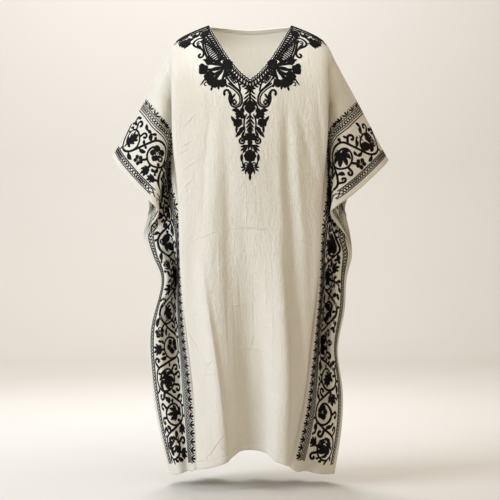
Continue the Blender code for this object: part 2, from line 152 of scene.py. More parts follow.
# Depths of the four warp lines of a panel's side borders, and how far the two inner ones lie from
# the border's inner line to its edge on each side.
BORDER_COLUMNS = ("border_y", "valley_y", "ridge_y", "edge_y", "right_valley_out", "right_ridge_out",
                  "left_valley_out", "left_ridge_out")
FRONT_BORDER = {
    "shoulder seam": (0.000, 0.000, 0.000, 0.000, 0.33, 0.66, 0.33, 0.66),
    "over the arm": (-0.035, -0.037, -0.035, -0.030, 0.33, 0.66, 0.33, 0.66),
    "upper sleeve": (-0.058, -0.063, -0.059, -0.050, 0.33, 0.66, 0.33, 0.66),
    "sleeve": (-0.040, -0.066, -0.073, -0.070, 0.28, 0.62, 0.28, 0.62),
    "sleeve corner": (-0.015, -0.034, -0.070, -0.086, 0.50, 0.85, 0.45, 0.75),
    "turn": (-0.022, -0.002, -0.030, -0.062, 1.20, 2.10, 0.45, 0.80),
    "under the arm": (-0.044, 0.008, 0.000, -0.026, 0.60, 1.00, 0.40, 0.80),
    "sleeve end": (-0.062, -0.002, 0.004, -0.002, 0.38, 0.72, 0.36, 0.72),
    "bulge": (-0.074, -0.010, -0.002, 0.004, 0.36, 0.72, 0.36, 0.72),
    "waist": (-0.076, -0.010, -0.035, -0.005, 0.32, 0.68, 0.32, 0.68),
    "hip": (-0.077, -0.006, -0.050, -0.012, 0.30, 0.66, 0.30, 0.66),
    "thigh": (-0.078, -0.010, -0.052, -0.012, 0.34, 0.70, 0.34, 0.70),
    "knee": (-0.082, -0.026, -0.056, -0.008, 0.34, 0.68, 0.34, 0.68),
    "shin": (-0.084, -0.044, -0.058, -0.003, 0.33, 0.67, 0.33, 0.67),
    "hem": (-0.090, -0.054, -0.058, 0.000, 0.31, 0.65, 0.31, 0.65),
}
BACK_BORDER = {
    "shoulder seam": (0.000, 0.000, 0.000, 0.000, 0.33, 0.66, 0.33, 0.66),
    "over the arm": (0.038, 0.039, 0.037, 0.033, 0.33, 0.66, 0.33, 0.66),
    "upper sleeve": (0.064, 0.066, 0.060, 0.052, 0.33, 0.66, 0.33, 0.66),
    "sleeve": (0.062, 0.070, 0.070, 0.058, 0.30, 0.64, 0.30, 0.64),
    "sleeve corner": (0.046, 0.060, 0.074, 0.056, 0.34, 0.66, 0.34, 0.66),
    "turn": (0.048, 0.036, 0.070, 0.064, 0.36, 0.68, 0.36, 0.68),
    "under the arm": (0.054, 0.022, 0.060, 0.050, 0.38, 0.68, 0.38, 0.68),
    "sleeve end": (0.062, 0.018, 0.050, 0.026, 0.38, 0.70, 0.38, 0.70),
    "bulge": (0.067, 0.020, 0.042, 0.004, 0.38, 0.70, 0.38, 0.70),
    "waist": (0.070, 0.018, 0.042, -0.005, 0.36, 0.70, 0.36, 0.70),
    "hip": (0.072, 0.014, 0.044, -0.012, 0.36, 0.70, 0.36, 0.70),
    "thigh": (0.074, 0.018, 0.048, -0.012, 0.36, 0.70, 0.36, 0.70),
    "knee": (0.078, 0.030, 0.052, -0.008, 0.34, 0.68, 0.34, 0.68),
    "shin": (0.080, 0.044, 0.058, -0.003, 0.33, 0.67, 0.33, 0.67),
    "hem": (0.086, 0.052, 0.058, 0.000, 0.31, 0.65, 0.31, 0.65),
}

# The back's sleeve edges hang straighter than the front's, which fold in under the arm: where they
# run instead.
BACK_EDGE_COLUMNS = ("right_x", "right_z", "left_x", "left_z")
BACK_EDGE = {
    "over the arm": (0.346, -0.381, 0.346, -0.379),
    "upper sleeve": (0.309, -0.411, 0.312, -0.411),
    "sleeve": (0.273, -0.443, 0.283, -0.441),
    "sleeve corner": (0.256, -0.485, 0.272, -0.482),
    "turn": (0.261, -0.511, 0.277, -0.509),
    "under the arm": (0.266, -0.536, 0.283, -0.533),
    "sleeve end": (0.270, -0.567, 0.286, -0.551),
}

# Hanging folds of the body: the flat distance of each from the centre at the hem and at its upper
# end, how wide it is, how far it stands out (or in, below zero) and hangs down at the hem, and how
# far below the shoulder it starts. A fold grows by a power of its length and falls off to its
# sides by a power of the distance, which keeps its top broad.
FOLD_COLUMNS = ("hem_u", "top_u", "width", "out", "drop", "start_v")
FOLD_GROWTH = 1.3
FOLD_FLATNESS = 3
FRONT_FOLDS = {
    "centre valley": (0.004, -0.006, 0.079, -0.046, 0.000, 0.36),
    "left ridge": (-0.118, -0.080, 0.055, 0.016, 0.019, 0.30),
    "right ridge": (0.142, -0.015, 0.047, 0.024, 0.012, 0.30),
}
BACK_FOLDS = {
    "centre ridge": (0.010, 0.010, 0.050, 0.020, 0.006, 0.30),
    "left valley": (-0.078, -0.064, 0.045, -0.026, 0.000, 0.34),
    "right valley": (0.090, 0.080, 0.045, -0.024, 0.000, 0.34),
    "left ridge": (-0.150, -0.140, 0.045, 0.010, 0.004, 0.40),
}

# Creases of the worn cloth: the flat place of each one's middle, how far its line turns from straight
# down towards +u (degrees), its length, its width on the side towards -u and how many times that it
# is on the other side, how far it stands out (or in, below zero), and how far its middle bows.
CREASE_COLUMNS = ("u", "v", "turn", "length", "width", "lean", "out", "bow")
CREASE_FADE = 0.020
CREASE_TAPER = 1.5
FRONT_CREASES = {
    "right valley": (0.135, 0.640, 7.0, 0.90, 0.014, 1.3, -0.0090, -0.006),
    "right valley, above": (0.094, 0.360, 1.0, 0.36, 0.011, 1.2, -0.0045, 0.000),
    "right edge, above": (0.086, 0.480, 1.5, 0.50, 0.018, 0.5, 0.0035, 0.000),
    "right edge": (0.136, 0.860, 10.5, 0.66, 0.030, 0.24, 0.0090, -0.006),
    "beside the right edge": (0.180, 0.900, 9.0, 0.46, 0.012, 1.2, -0.0060, 0.000),
    "ridge over the right hip": (0.137, 0.455, 7.9, 0.44, 0.013, 1.2, 0.0045, 0.000),
    "under the right shoulder": (0.153, 0.325, 17.7, 0.24, 0.009, 1.0, -0.0035, -0.003),
    "by the right arm": (0.181, 0.270, 7.5, 0.22, 0.008, 0.8, -0.0030, 0.000),
    "by the right thigh": (0.172, 0.620, 8.0, 0.34, 0.012, 1.0, -0.0030, 0.004),
    "left edge": (-0.106, 0.870, 6.6, 0.60, 0.026, 0.24, 0.0112, -0.003),
    "left edge, above": (-0.100, 0.490, -5.5, 0.46, 0.020, 0.7, 0.0032, 0.000),
    "left valley": (-0.065, 0.560, -0.5, 0.66, 0.013, 1.6, -0.0062, 0.004),
    "under the left shoulder": (-0.112, 0.320, -10.5, 0.22, 0.009, 1.1, -0.0032, 0.002),
    "over the left hip": (-0.127, 0.440, -3.0, 0.16, 0.007, 1.0, -0.0022, 0.000),
    "left thigh": (-0.165, 0.640, -3.0, 0.36, 0.016, 1.2, -0.0026, 0.000),
    "lower valley": (-0.006, 0.920, 1.0, 0.56, 0.028, 0.9, -0.0075, 0.000),
    "beside the lower valley": (-0.058, 0.930, -1.0, 0.48, 0.022, 1.0, 0.0060, 0.000),
    "left sleeve, fold 1": (-0.300, 0.170, 20.0, 0.26, 0.012, 1.2, -0.0035, 0.004),
    "left sleeve, fold 2": (-0.345, 0.130, 27.0, 0.22, 0.010, 0.9, 0.0028, 0.000),
    "left sleeve, fold 3": (-0.255, 0.250, 9.0, 0.20, 0.010, 1.0, -0.0030, 0.003),
    "right sleeve, fold 1": (0.315, 0.150, -22.0, 0.24, 0.012, 1.1, -0.0035, -0.004),
    "right sleeve, fold 2": (0.270, 0.230, -8.0, 0.22, 0.010, 1.0, 0.0030, 0.000),
    "right sleeve, fold 3": (0.360, 0.110, -30.0, 0.18, 0.009, 0.9, 0.0022, 0.002),
    "left border 1": (-0.455, 0.640, 12.0, 0.15, 0.010, 1.0, -0.0024, 0.003),
    "left border 2": (-0.430, 0.830, -6.0, 0.19, 0.010, 1.0, 0.0022, 0.000),
    "right border 1": (0.450, 0.610, -9.0, 0.16, 0.010, 1.0, -0.0024, 0.000),
    "right border 2": (0.445, 0.850, 7.0, 0.18, 0.010, 1.0, 0.0022, -0.003),
}
BACK_CREASES = {
    "centre valley": (-0.014, 0.600, 1.0, 0.82, 0.016, 1.2, -0.0065, 0.004),
    "right of the centre": (0.042, 0.720, 3.0, 0.58, 0.018, 0.5, 0.0050, 0.000),
    "left of the centre": (-0.058, 0.560, -4.0, 0.50, 0.014, 1.4, 0.0042, 0.000),
    "right valley": (0.112, 0.520, 6.5, 0.62, 0.013, 1.2, -0.0060, 0.006),
    "right hip": (0.150, 0.700, 8.0, 0.48, 0.017, 0.6, 0.0050, 0.000),
    "left valley": (-0.120, 0.610, -5.0, 0.70, 0.015, 0.9, -0.0062, -0.005),
    "left hip": (-0.165, 0.480, -6.0, 0.36, 0.012, 1.0, 0.0036, 0.000),
    "right shoulder blade": (0.120, 0.250, 21.0, 0.23, 0.010, 1.1, -0.0032, 0.004),
    "left shoulder blade": (-0.128, 0.235, -24.0, 0.25, 0.011, 0.9, -0.0034, 0.000),
    "between the shoulders": (0.018, 0.190, 84.0, 0.17, 0.010, 1.0, 0.0022, -0.006),
    "left sleeve, fold 1": (-0.320, 0.150, 24.0, 0.25, 0.012, 1.1, -0.0034, 0.003),
    "left sleeve, fold 2": (-0.262, 0.240, 8.0, 0.20, 0.010, 1.0, 0.0028, 0.000),
    "right sleeve, fold 1": (0.330, 0.140, -25.0, 0.24, 0.011, 0.9, -0.0034, 0.000),
    "right sleeve, fold 2": (0.275, 0.255, -6.0, 0.19, 0.010, 1.0, 0.0030, -0.003),
    "left border": (-0.450, 0.740, 8.0, 0.18, 0.010, 1.0, -0.0024, 0.000),
    "right border": (0.440, 0.690, -7.0, 0.17, 0.010, 1.0, 0.0024, 0.003),
}


def half_cage(side, body, border, back_edge):
    """Points of one half of a panel, one row for each weft line and one column for each warp line."""
    rows = []
    for name, section in (RIGHT_SIDE if side == "right" else LEFT_SIDE).items():
        at = dict(zip(SIDE_COLUMNS, section))
        at.update(zip(BODY_COLUMNS, body[name]))
        at.update(zip(BORDER_COLUMNS, border[name]))
        if name in back_edge:
            edge = dict(zip(BACK_EDGE_COLUMNS, back_edge[name]))
            at.update(edge_x=edge[side + "_x"], edge_z=edge[side + "_z"])
        row = [(0.0, at["centre_y"], at["centre_z"])]
        for share_out, share_back, share_down in zip(BODY_OUT, BODY_BACK, BODY_DROP):
            row.append((share_out * at["fold_x"],
                        at["centre_y"] + share_back * (at["fold_y"] - at["centre_y"]),
                        at["centre_z"] + share_down * (at["fold_z"] - at["centre_z"])))
        row.append((at["fold_x"], at["fold_y"], at["fold_z"]))
        for line, share_down in (("pleat_body", 1 / 3), ("pleat_border", 2 / 3)):
            row.append((at["fold_x"] - at[line + "_in"],
                        at[line + "_y"],
                        at["fold_z"] + share_down * (at["border_z"] - at["fold_z"]) + at["pleat_lift"]))
        row.append((at["border_x"], at["border_y"], at["border_z"]))
        for line, share_down in (("valley", 1 / 3), ("ridge", 2 / 3)):
            row.append((at["border_x"] + at[f"{side}_{line}_out"] * (at["edge_x"] - at["border_x"]),
                        at[line + "_y"],
                        at["border_z"] + share_down * (at["edge_z"] - at["border_z"])))
        row.append((at["edge_x"], at["edge_y"], at["edge_z"]))
        rows.append(row)
    return np.array(rows)


def panel_cage(body, border, back_edge):
    """The whole panel's points, from its left edge to its right edge."""
    right = half_cage("right", body, border, back_edge)
    left = half_cage("left", body, border, back_edge) * (-1.0, 1.0, 1.0)
    return np.concatenate([left[:, :0:-1], right], axis=1)


PANEL_WARP = np.concatenate([-WARP_LINES[:0:-1], WARP_LINES])
FRONT = {"cage": panel_cage(FRONT_BODY, FRONT_BORDER, {}), "folds": FRONT_FOLDS,
         "creases": FRONT_CREASES, "out": -1.0}
BACK = {"cage": panel_cage(BACK_BODY, BACK_BORDER, BACK_EDGE), "folds": BACK_FOLDS,
        "creases": BACK_CREASES, "out": 1.0}


def spline_weights(knots, at):
    """Weights of each knot at each value: a cubic through the knots, with the slope at a knot
    taken from its two neighbours."""
    count = len(knots)
    step = np.diff(knots)
    slope = np.zeros((count, count))
    for k in range(count):
        before, after = max(k - 1, 0), min(k + 1, count - 1)
        slope[k, after] += 1.0 / (knots[after] - knots[before])
        slope[k, before] -= 1.0 / (knots[after] - knots[before])
    cell = np.clip(np.searchsorted(knots, at, side="right") - 1, 0, count - 2)
    width = step[cell]
    t = np.clip((at - knots[cell]) / width, 0.0, 1.0)
    value = np.eye(count)
    return ((2 * t**3 - 3 * t**2 + 1)[:, None] * value[cell]
            + (3 * t**2 - 2 * t**3)[:, None] * value[cell + 1]
            + ((t**3 - 2 * t**2 + t) * width)[:, None] * slope[cell]
            + ((t**3 - t**2) * width)[:, None] * slope[cell + 1])


def hung_points(panel, u, v):
    """Points of a panel where the lines u across and v down meet: a cubic surface through the cage,
    with a swell for each hanging fold, fall ** growth times exp(-(distance / width) ** flatness)."""
    down, across = spline_weights(WEFT_LINES, v), spline_weights(PANEL_WARP, u)
    points = np.einsum("vi,ijk,uj->vuk", down, panel["cage"], across, optimize=True)
    for fold in panel["folds"].values():
        form = dict(zip(FOLD_COLUMNS, fold))
        fall = np.clip((v[:, None] - form["start_v"]) / (HEM_V - form["start_v"]), 0.0, 1.0)
        centre = form["top_u"] + (form["hem_u"] - form["top_u"]) * fall
        swell = fall**FOLD_GROWTH * np.exp(-np.abs((u - centre) / form["width"]) ** FOLD_FLATNESS)
        points[..., 1] += panel["out"] * form["out"] * swell
        points[..., 2] -= form["drop"] * swell
    return points


def sewn_points(panel, u, v):
    """The same after sewing: below the sleeve openings both panels' edges are drawn onto the line
    midway between them, and half the seam's gap is left at every seam."""
    points = hung_points(panel, u, v)
    edges = np.array([-EDGE_U, EDGE_U])
    other = BACK if panel is FRONT else FRONT
    halfway = (hung_points(other, edges, v) - hung_points(panel, edges, v)) / 2
    near = np.clip((np.abs(u) - WARP_LINES[-2]) / (EDGE_U - WARP_LINES[-2]), 0.0, 1.0)
    drawn = np.where(v[:, None] > OPENING_END, near**2 * (3 - 2 * near), 0.0)
    points += drawn[..., None] * np.where((u > 0)[None, :, None], halfway[:, 1:], halfway[:, :1])
    points[..., 1] += panel["out"] * SEAM_GAP / 2
    return points


def crease_relief(panel, u, v):
    """How far each place stands out from the smooth cloth: for each crease, its height times
    exp(-(distance / width) ** 2), each side with its own width, and a rounded fall to nothing at
    its two ends."""
    relief = np.zeros((len(v), len(u)))
    for crease in panel["creases"].values():
        form = dict(zip(CREASE_COLUMNS, crease))
        turn = math.radians(form["turn"])
        right, below = u[None, :] - form["u"], v[:, None] - form["v"]
        along = (right * math.sin(turn) + below * math.cos(turn)) / (form["length"] / 2)
        taper = np.clip(1.0 - along**2, 0.0, 1.0) ** CREASE_TAPER
        aside = right * math.cos(turn) - below * math.sin(turn) - form["bow"] * (1.0 - along**2)
        reach = np.where(aside > 0, form["lean"], 1.0) * form["width"]
        relief += form["out"] * taper * np.exp(-((aside / reach) ** 2))
    at_side = np.clip((EDGE_U - np.abs(u)) / CREASE_FADE, 0.0, 1.0)
    at_top = np.clip(v / CREASE_FADE, 0.0, 1.0)
    return relief * at_side[None, :] * at_top[:, None]


# Fine lines at which each panel is worked out once. Every piece on a panel reads its place there.
TABLE_U = np.linspace(-EDGE_U, EDGE_U, 761)
TABLE_V = np.linspace(0.0, HEM_V, 688)
INSIDE_END = 1.001


def cloth_table(panel):
    """A panel's points, outward directions and both slopes at every table line, creases added."""
    points = sewn_points(panel, TABLE_U, TABLE_V)
    smooth = outward(panel, points)
    points += crease_relief(panel, TABLE_U, TABLE_V)[..., None] * smooth
    slope_v, slope_u = np.gradient(points, TABLE_V, TABLE_U, axis=(0, 1))
    return np.concatenate([points, outward(panel, points), slope_u, slope_v], axis=-1)


def outward(panel, points):
    """Unit directions out of the garment, from the cross product of a grid's two slopes."""
    down, across = np.gradient(points, TABLE_V, TABLE_U, axis=(0, 1))
    normal = np.cross(down, across) * -panel["out"]
    return normal / np.linalg.norm(normal, axis=-1, keepdims=True)


for panel in (FRONT, BACK):
    panel["table"] = cloth_table(panel)


def mixed(table, row_place, column_place):
    """Entries of a table at places between its rows and columns, each mixed from the four nearest by
    its distances to them. A place on the last line is read from the cell before it."""
    y = np.clip(row_place, 0.0, table.shape[0] - INSIDE_END)
    x = np.clip(column_place, 0.0, table.shape[1] - INSIDE_END)
    row, column = y.astype(int), x.astype(int)
    a, b = (x - column)[..., None], (y - row)[..., None]
    return ((table[row, column] * (1 - a) + table[row, column + 1] * a) * (1 - b)
            + (table[row + 1, column] * (1 - a) + table[row + 1, column + 1] * a) * b)


def cloth_at(panel, u, v):
    """Point, outward direction and the two slopes of a panel at flat places."""
    row, column = v / (TABLE_V[1] - TABLE_V[0]), (u + EDGE_U) / (TABLE_U[1] - TABLE_U[0])
    found = mixed(panel["table"], row, column)
    return found[..., 0:3], found[..., 3:6], found[..., 6:9], found[..., 9:12]


# Distances below the shoulder seam at which the neckline is looked for.
NECK_SEARCH = np.linspace(0.0, 0.30, 301)


def neck_start(panel, u):
    """How far below the shoulder seam a panel starts: at the V in front, whose depth at a share s of
    the way in grows as s + bow * (sin(pi * s / 2) - s), and at a scoop behind, whose reach is
    depth * sqrt(1 - (x / half width) ** 2)."""
    line = cloth_at(panel, *np.broadcast_arrays(u[None, :], NECK_SEARCH[:, None]))[0]
    inside = 1.0 - np.abs(line[..., 0]) / NECK_HALF_WIDTH
    if panel is FRONT:
        bowed = inside + V_NECK_BOW * (np.sin(math.pi / 2 * np.clip(inside, 0.0, 1.0)) - inside)
        height = line[..., 2] + V_NECK_DEPTH * bowed
    else:
        reach = np.clip(1.0 - (line[..., 0] / NECK_HALF_WIDTH) ** 2, 0.0, 1.0)
        height = BACK_NECK_DEPTH * np.sqrt(reach) - line[..., 1]
    cut = (inside[0] > 0) & (height[0] > 0)
    below = np.maximum(np.argmax(height <= 0, axis=0), 1)
    columns = np.arange(len(u))
    high, low = height[below - 1, columns], height[below, columns]
    share = np.clip(high / np.where(high == low, 1.0, high - low), 0.0, 1.0)
    found = NECK_SEARCH[below - 1] + share * (NECK_SEARCH[below] - NECK_SEARCH[below - 1])
    return np.where(cut, found, 0.0)


def between(stations, parts):
    """Values that split each gap between stations into its number of parts."""
    found = [np.linspace(a, b, n, endpoint=False) for a, b, n in zip(stations, stations[1:], parts)]
    return np.concatenate([*found, stations[-1:]])


def sheet_faces(rows, columns):
    """Quads of a grid of points, each from its upper left corner down and round to the upper right."""
    index = np.arange(rows * columns).reshape(rows, columns)
    corners = [index[:-1, :-1], index[1:, :-1], index[1:, 1:], index[:-1, 1:]]
    return np.stack([c.ravel() for c in corners], axis=1)


def mesh_object(name, points, faces, uv, material):
    """An object of a mesh from points, quads and a flat place (u, v) for each point."""
    mesh = bpy.data.meshes.new(name)
    mesh.from_pydata(points.tolist(), [], faces.tolist())
    layer = mesh.uv_layers.new(name="flat")
    corners = np.empty(len(mesh.loops), dtype=np.int32)
    mesh.loops.foreach_get("vertex_index", corners)
    layer.data.foreach_set("uv", uv[corners].astype(np.float32).ravel())
    mesh.shade_smooth()
    mesh.materials.append(material)
    obj = bpy.data.objects.new(name, mesh)
    bpy.context.scene.collection.objects.link(obj)
    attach(obj, "root")
    return obj


def shell(name, panel, u, v, inner, outer, roll, material):
    """A closed wall of cloth over a grid of flat places: an inner and an outer sheet at their
    distances from the sewn surface, joined all round by a strip that rolls out past the edge."""
    point, normal, slope_u, slope_v = cloth_at(panel, u, v)
    rows, columns = u.shape
    sheets = [point + normal * inner[..., None], point + normal * outer[..., None]]
    ring = np.concatenate([np.arange(columns),
                           np.arange(1, rows) * columns + columns - 1,
                           (rows - 1) * columns + np.arange(columns - 2, -1, -1),
                           np.arange(rows - 2, 0, -1) * columns])
    aside = np.zeros_like(point)
    aside[0] -= slope_v[0]
    aside[-1] += slope_v[-1]
    aside[:, 0] -= slope_u[:, 0]
    aside[:, -1] += slope_u[:, -1]
    aside = aside.reshape(-1, 3)[ring]
    aside /= np.linalg.norm(aside, axis=1, keepdims=True)
    middle = (sheets[0] + sheets[1]).reshape(-1, 3)[ring] / 2 + aside * roll.reshape(-1)[ring][:, None]
    count = rows * columns
    faces = sheet_faces(rows, columns)
    fold = 2 * count + np.arange(len(ring))
    after = np.roll(np.arange(len(ring)), -1)
    strip_out = np.stack([ring + count, ring[after] + count, fold[after], fold], axis=1)
    strip_in = np.stack([fold, fold[after], ring[after], ring], axis=1)
    quads = np.concatenate([faces[:, ::-1], faces + count, strip_out, strip_in])
    if panel is BACK:
        quads = quads[:, ::-1]
    places = np.stack([u, v], axis=-1).reshape(-1, 2)
    every = np.concatenate([*(s.reshape(-1, 3) for s in sheets), middle])
    return mesh_object(name, every, quads, np.concatenate([places, places, places[ring]]), material)


class Wire:
    """A shader socket in a material's nodes. An operator on it adds the Math node that it stands for."""

    def __init__(self, tree, socket=None):
        self.tree, self.socket = tree, socket

    def node(self, kind, settings=None, sockets=None, output=0):
        """Adds a node, sets its settings, then its sockets' values or links, and returns its named
        or numbered output."""
        node = self.tree.nodes.new("ShaderNode" + kind)
        for name, value in (settings or {}).items():
            setattr(node, name, value)
        for name, value in (sockets or {}).items():
            if isinstance(value, Wire):
                self.tree.links.new(value.socket, node.inputs[name])
            else:
                node.inputs[name].default_value = value
        return Wire(self.tree, node.outputs[output]) if node.outputs else None

    def maths(self, operation, first, second):
        """A Math node on two values."""
        return self.node("Math", {"operation": operation}, {0: first, 1: second})

    def __add__(self, other):
        return self.maths("ADD", self, other)

    def __mul__(self, other):
        return self.maths("MULTIPLY", self, other)

    def noise(self, scale, detail=2.0):
        """Noise, from 0 to 1, with its own scale along each axis of this vector."""
        stretched = self.node("Mapping", {"vector_type": "POINT"}, {"Vector": self, "Scale": scale})
        return self.node("TexNoise", {}, {"Vector": stretched, "Scale": 1.0, "Detail": detail})

    def blend(self, low, high):
        """A colour from low to high by this value, from 0 to 1."""
        return self.node("Mix", {"data_type": "RGBA"}, {0: self, 6: low, 7: high}, 2)


def blank_material(name):
    """A material without nodes, and a Wire that adds them to it."""
    material = bpy.data.materials.new(name)
    material.use_nodes = True
    material.node_tree.nodes.clear()
    return material, Wire(material.node_tree)


# Narrow relief on the cloth: the rows of stitching that draw the turned hems in, and sharp creases
# left by folding and by the way that the cloth hangs. A table gives the flat place of each one's
# middle, its turn from straight down towards +u (degrees), its length, its width to each side, and
# how far it stands out (or in, below zero). Every row is deepened and spread by the same two shares.
PRESSED_COLUMNS = ("u", "v", "turn", "length", "width", "out")
PRESSED_DEPTH = 1.15
PRESSED_SPREAD = 1.25
HEM_STITCHING = {
    "along the bottom": (0.0, HEM_V - 0.0125, 90.0, 2.4, 0.0017, -0.0009),
    "along the left side": (-EDGE_U + 0.0115, 0.6, 0.0, 2.4, 0.0017, -0.0009),
    "along the right side": (EDGE_U - 0.0115, 0.6, 0.0, 2.4, 0.0017, -0.0009),
}
FRONT_PRESSED = {
    "edge of the left plane": (-0.108, 0.870, 6.6, 0.46, 0.0042, 0.0018),
    "edge of the right plane": (0.136, 0.860, 10.5, 0.56, 0.0042, 0.0018),
    "gather 1": (-0.076, 0.790, 1.0, 0.24, 0.0035, 0.0013),
    "gather 2": (-0.067, 0.740, -2.0, 0.18, 0.0030, -0.0011),
    "gather 3": (-0.058, 0.850, 1.0, 0.22, 0.0030, 0.0013),
    "gather 4": (-0.049, 0.755, 2.0, 0.15, 0.0028, -0.0011),
    "gather 5": (-0.040, 0.830, -1.0, 0.19, 0.0032, 0.0011),
    "gather 6": (-0.030, 0.715, 2.0, 0.14, 0.0030, -0.0009),
    "gather 7": (-0.020, 0.885, -2.0, 0.17, 0.0030, 0.0010),
    "gather 8": (0.012, 0.760, 1.0, 0.21, 0.0034, -0.0009),
    "gather 9": (0.046, 0.700, 3.0, 0.19, 0.0034, 0.0009),
    "gather 10": (-0.088, 0.620, 0.0, 0.17, 0.0032, 0.0010),
    "gather 11": (0.074, 0.810, 5.0, 0.20, 0.0036, 0.0010),
    "pressed across the waist": (0.004, 0.5555, 89.5, 0.165, 0.0026, 0.0016),
    "pressed left of the waist": (-0.126, 0.5540, 93.0, 0.100, 0.0030, 0.0011),
    "pressed right of the waist": (0.160, 0.5650, 84.0, 0.070, 0.0030, 0.0010),
    "pressed above the waist": (0.008, 0.4930, 90.0, 0.150, 0.0026, 0.0008),
    "pressed down the waist": (-0.010, 0.5200, 0.0, 0.130, 0.0024, 0.0009),
    "pressed down, right": (0.018, 0.5050, 1.0, 0.120, 0.0024, -0.0008),
    "left arm 1": (-0.165, 0.3115, 103.0, 0.040, 0.0030, 0.0014),
    "left arm 2": (-0.170, 0.3320, 101.0, 0.038, 0.0030, -0.0013),
    "left arm 3": (-0.154, 0.2520, 128.0, 0.052, 0.0035, 0.0014),
    "left arm 4": (-0.162, 0.3685, 107.0, 0.056, 0.0035, 0.0013),
    "left arm 5": (-0.172, 0.4120, 118.0, 0.052, 0.0035, 0.0012),
    "left knee 1": (-0.1365, 0.839, 94.0, 0.050, 0.0026, 0.0015),
    "left knee 2": (-0.1345, 0.8455, 119.0, 0.050, 0.0026, -0.0014),
    "left knee 3": (-0.137, 0.8600, 88.0, 0.066, 0.0028, 0.0013),
    "left thigh slant": (-0.184, 0.7855, 31.0, 0.084, 0.0030, 0.0017),
    "left shin slant": (-0.1335, 0.9955, 119.0, 0.096, 0.0030, 0.0019),
    "left shin cross": (-0.1005, 1.006, 54.0, 0.048, 0.0028, 0.0015),
    "pressed across the knees": (0.000, 0.8345, 88.5, 0.150, 0.0030, 0.0012),
    "bowed over the knees": (-0.030, 0.7400, 84.0, 0.084, 0.0040, 0.0013),
    "slant at the knees": (0.0045, 0.8220, 155.0, 0.046, 0.0030, 0.0012),
    "slant at the right hip": (0.121, 0.6765, 175.0, 0.070, 0.0030, 0.0012),
}
BACK_PRESSED = {
    "gather 1": (-0.035, 0.340, 1.0, 0.20, 0.0035, 0.0011),
    "gather 2": (0.006, 0.800, -1.0, 0.24, 0.0036, 0.0012),
    "gather 3": (0.066, 0.380, 3.0, 0.18, 0.0032, -0.0010),
    "gather 4": (0.090, 0.820, 2.0, 0.22, 0.0034, 0.0011),
    "gather 5": (-0.090, 0.840, -2.0, 0.19, 0.0034, -0.0011),
    "gather 6": (-0.140, 0.780, -1.0, 0.21, 0.0036, 0.0012),
    "pressed across the waist": (0.010, 0.540, 90.5, 0.190, 0.0027, 0.0015),
    "pressed left of the waist": (-0.135, 0.548, 87.0, 0.110, 0.0030, 0.0011),
    "pressed across the knees": (-0.020, 0.815, 91.0, 0.170, 0.0030, 0.0012),
    "pressed down the waist": (0.004, 0.470, 0.5, 0.140, 0.0025, 0.0009),
    "seat 1": (-0.048, 0.470, 76.0, 0.090, 0.0050, 0.0018),
    "seat 2": (0.058, 0.500, 101.0, 0.080, 0.0045, -0.0016),
    "seat 3": (0.020, 0.640, 95.0, 0.070, 0.0040, 0.0014),
    "right arm 1": (0.168, 0.300, 72.0, 0.045, 0.0032, 0.0013),
    "right arm 2": (0.160, 0.350, 66.0, 0.055, 0.0034, -0.0013),
    "left arm 1": (-0.160, 0.325, 112.0, 0.050, 0.0034, 0.0014),
    "right shin slant": (0.130, 0.960, 62.0, 0.085, 0.0030, 0.0017),
    "left knee slant": (-0.150, 0.900, 132.0, 0.070, 0.0030, 0.0015),
}


def pressed_relief(flat, creases):
    """The narrow rows' height at a flat place: each is a cone drawn out to its length and width, so
    its line is sharp in the middle and runs out at both ends."""
    height = 0.0
    for crease in creases.values():
        form = dict(zip(PRESSED_COLUMNS, crease))
        place = flat.node("Mapping", {"vector_type": "TEXTURE"}, {
            "Vector": flat,
            "Location": (form["u"], form["v"], 0.0),
            "Rotation": (0.0, 0.0, -math.radians(form["turn"])),
            "Scale": (PRESSED_SPREAD * form["width"], form["length"] / 2, 1.0)})
        cone = flat.node("TexGradient", {"gradient_type": "SPHERICAL"}, {"Vector": place}, 1)
        height = cone * (PRESSED_DEPTH * form["out"]) + height
    return height


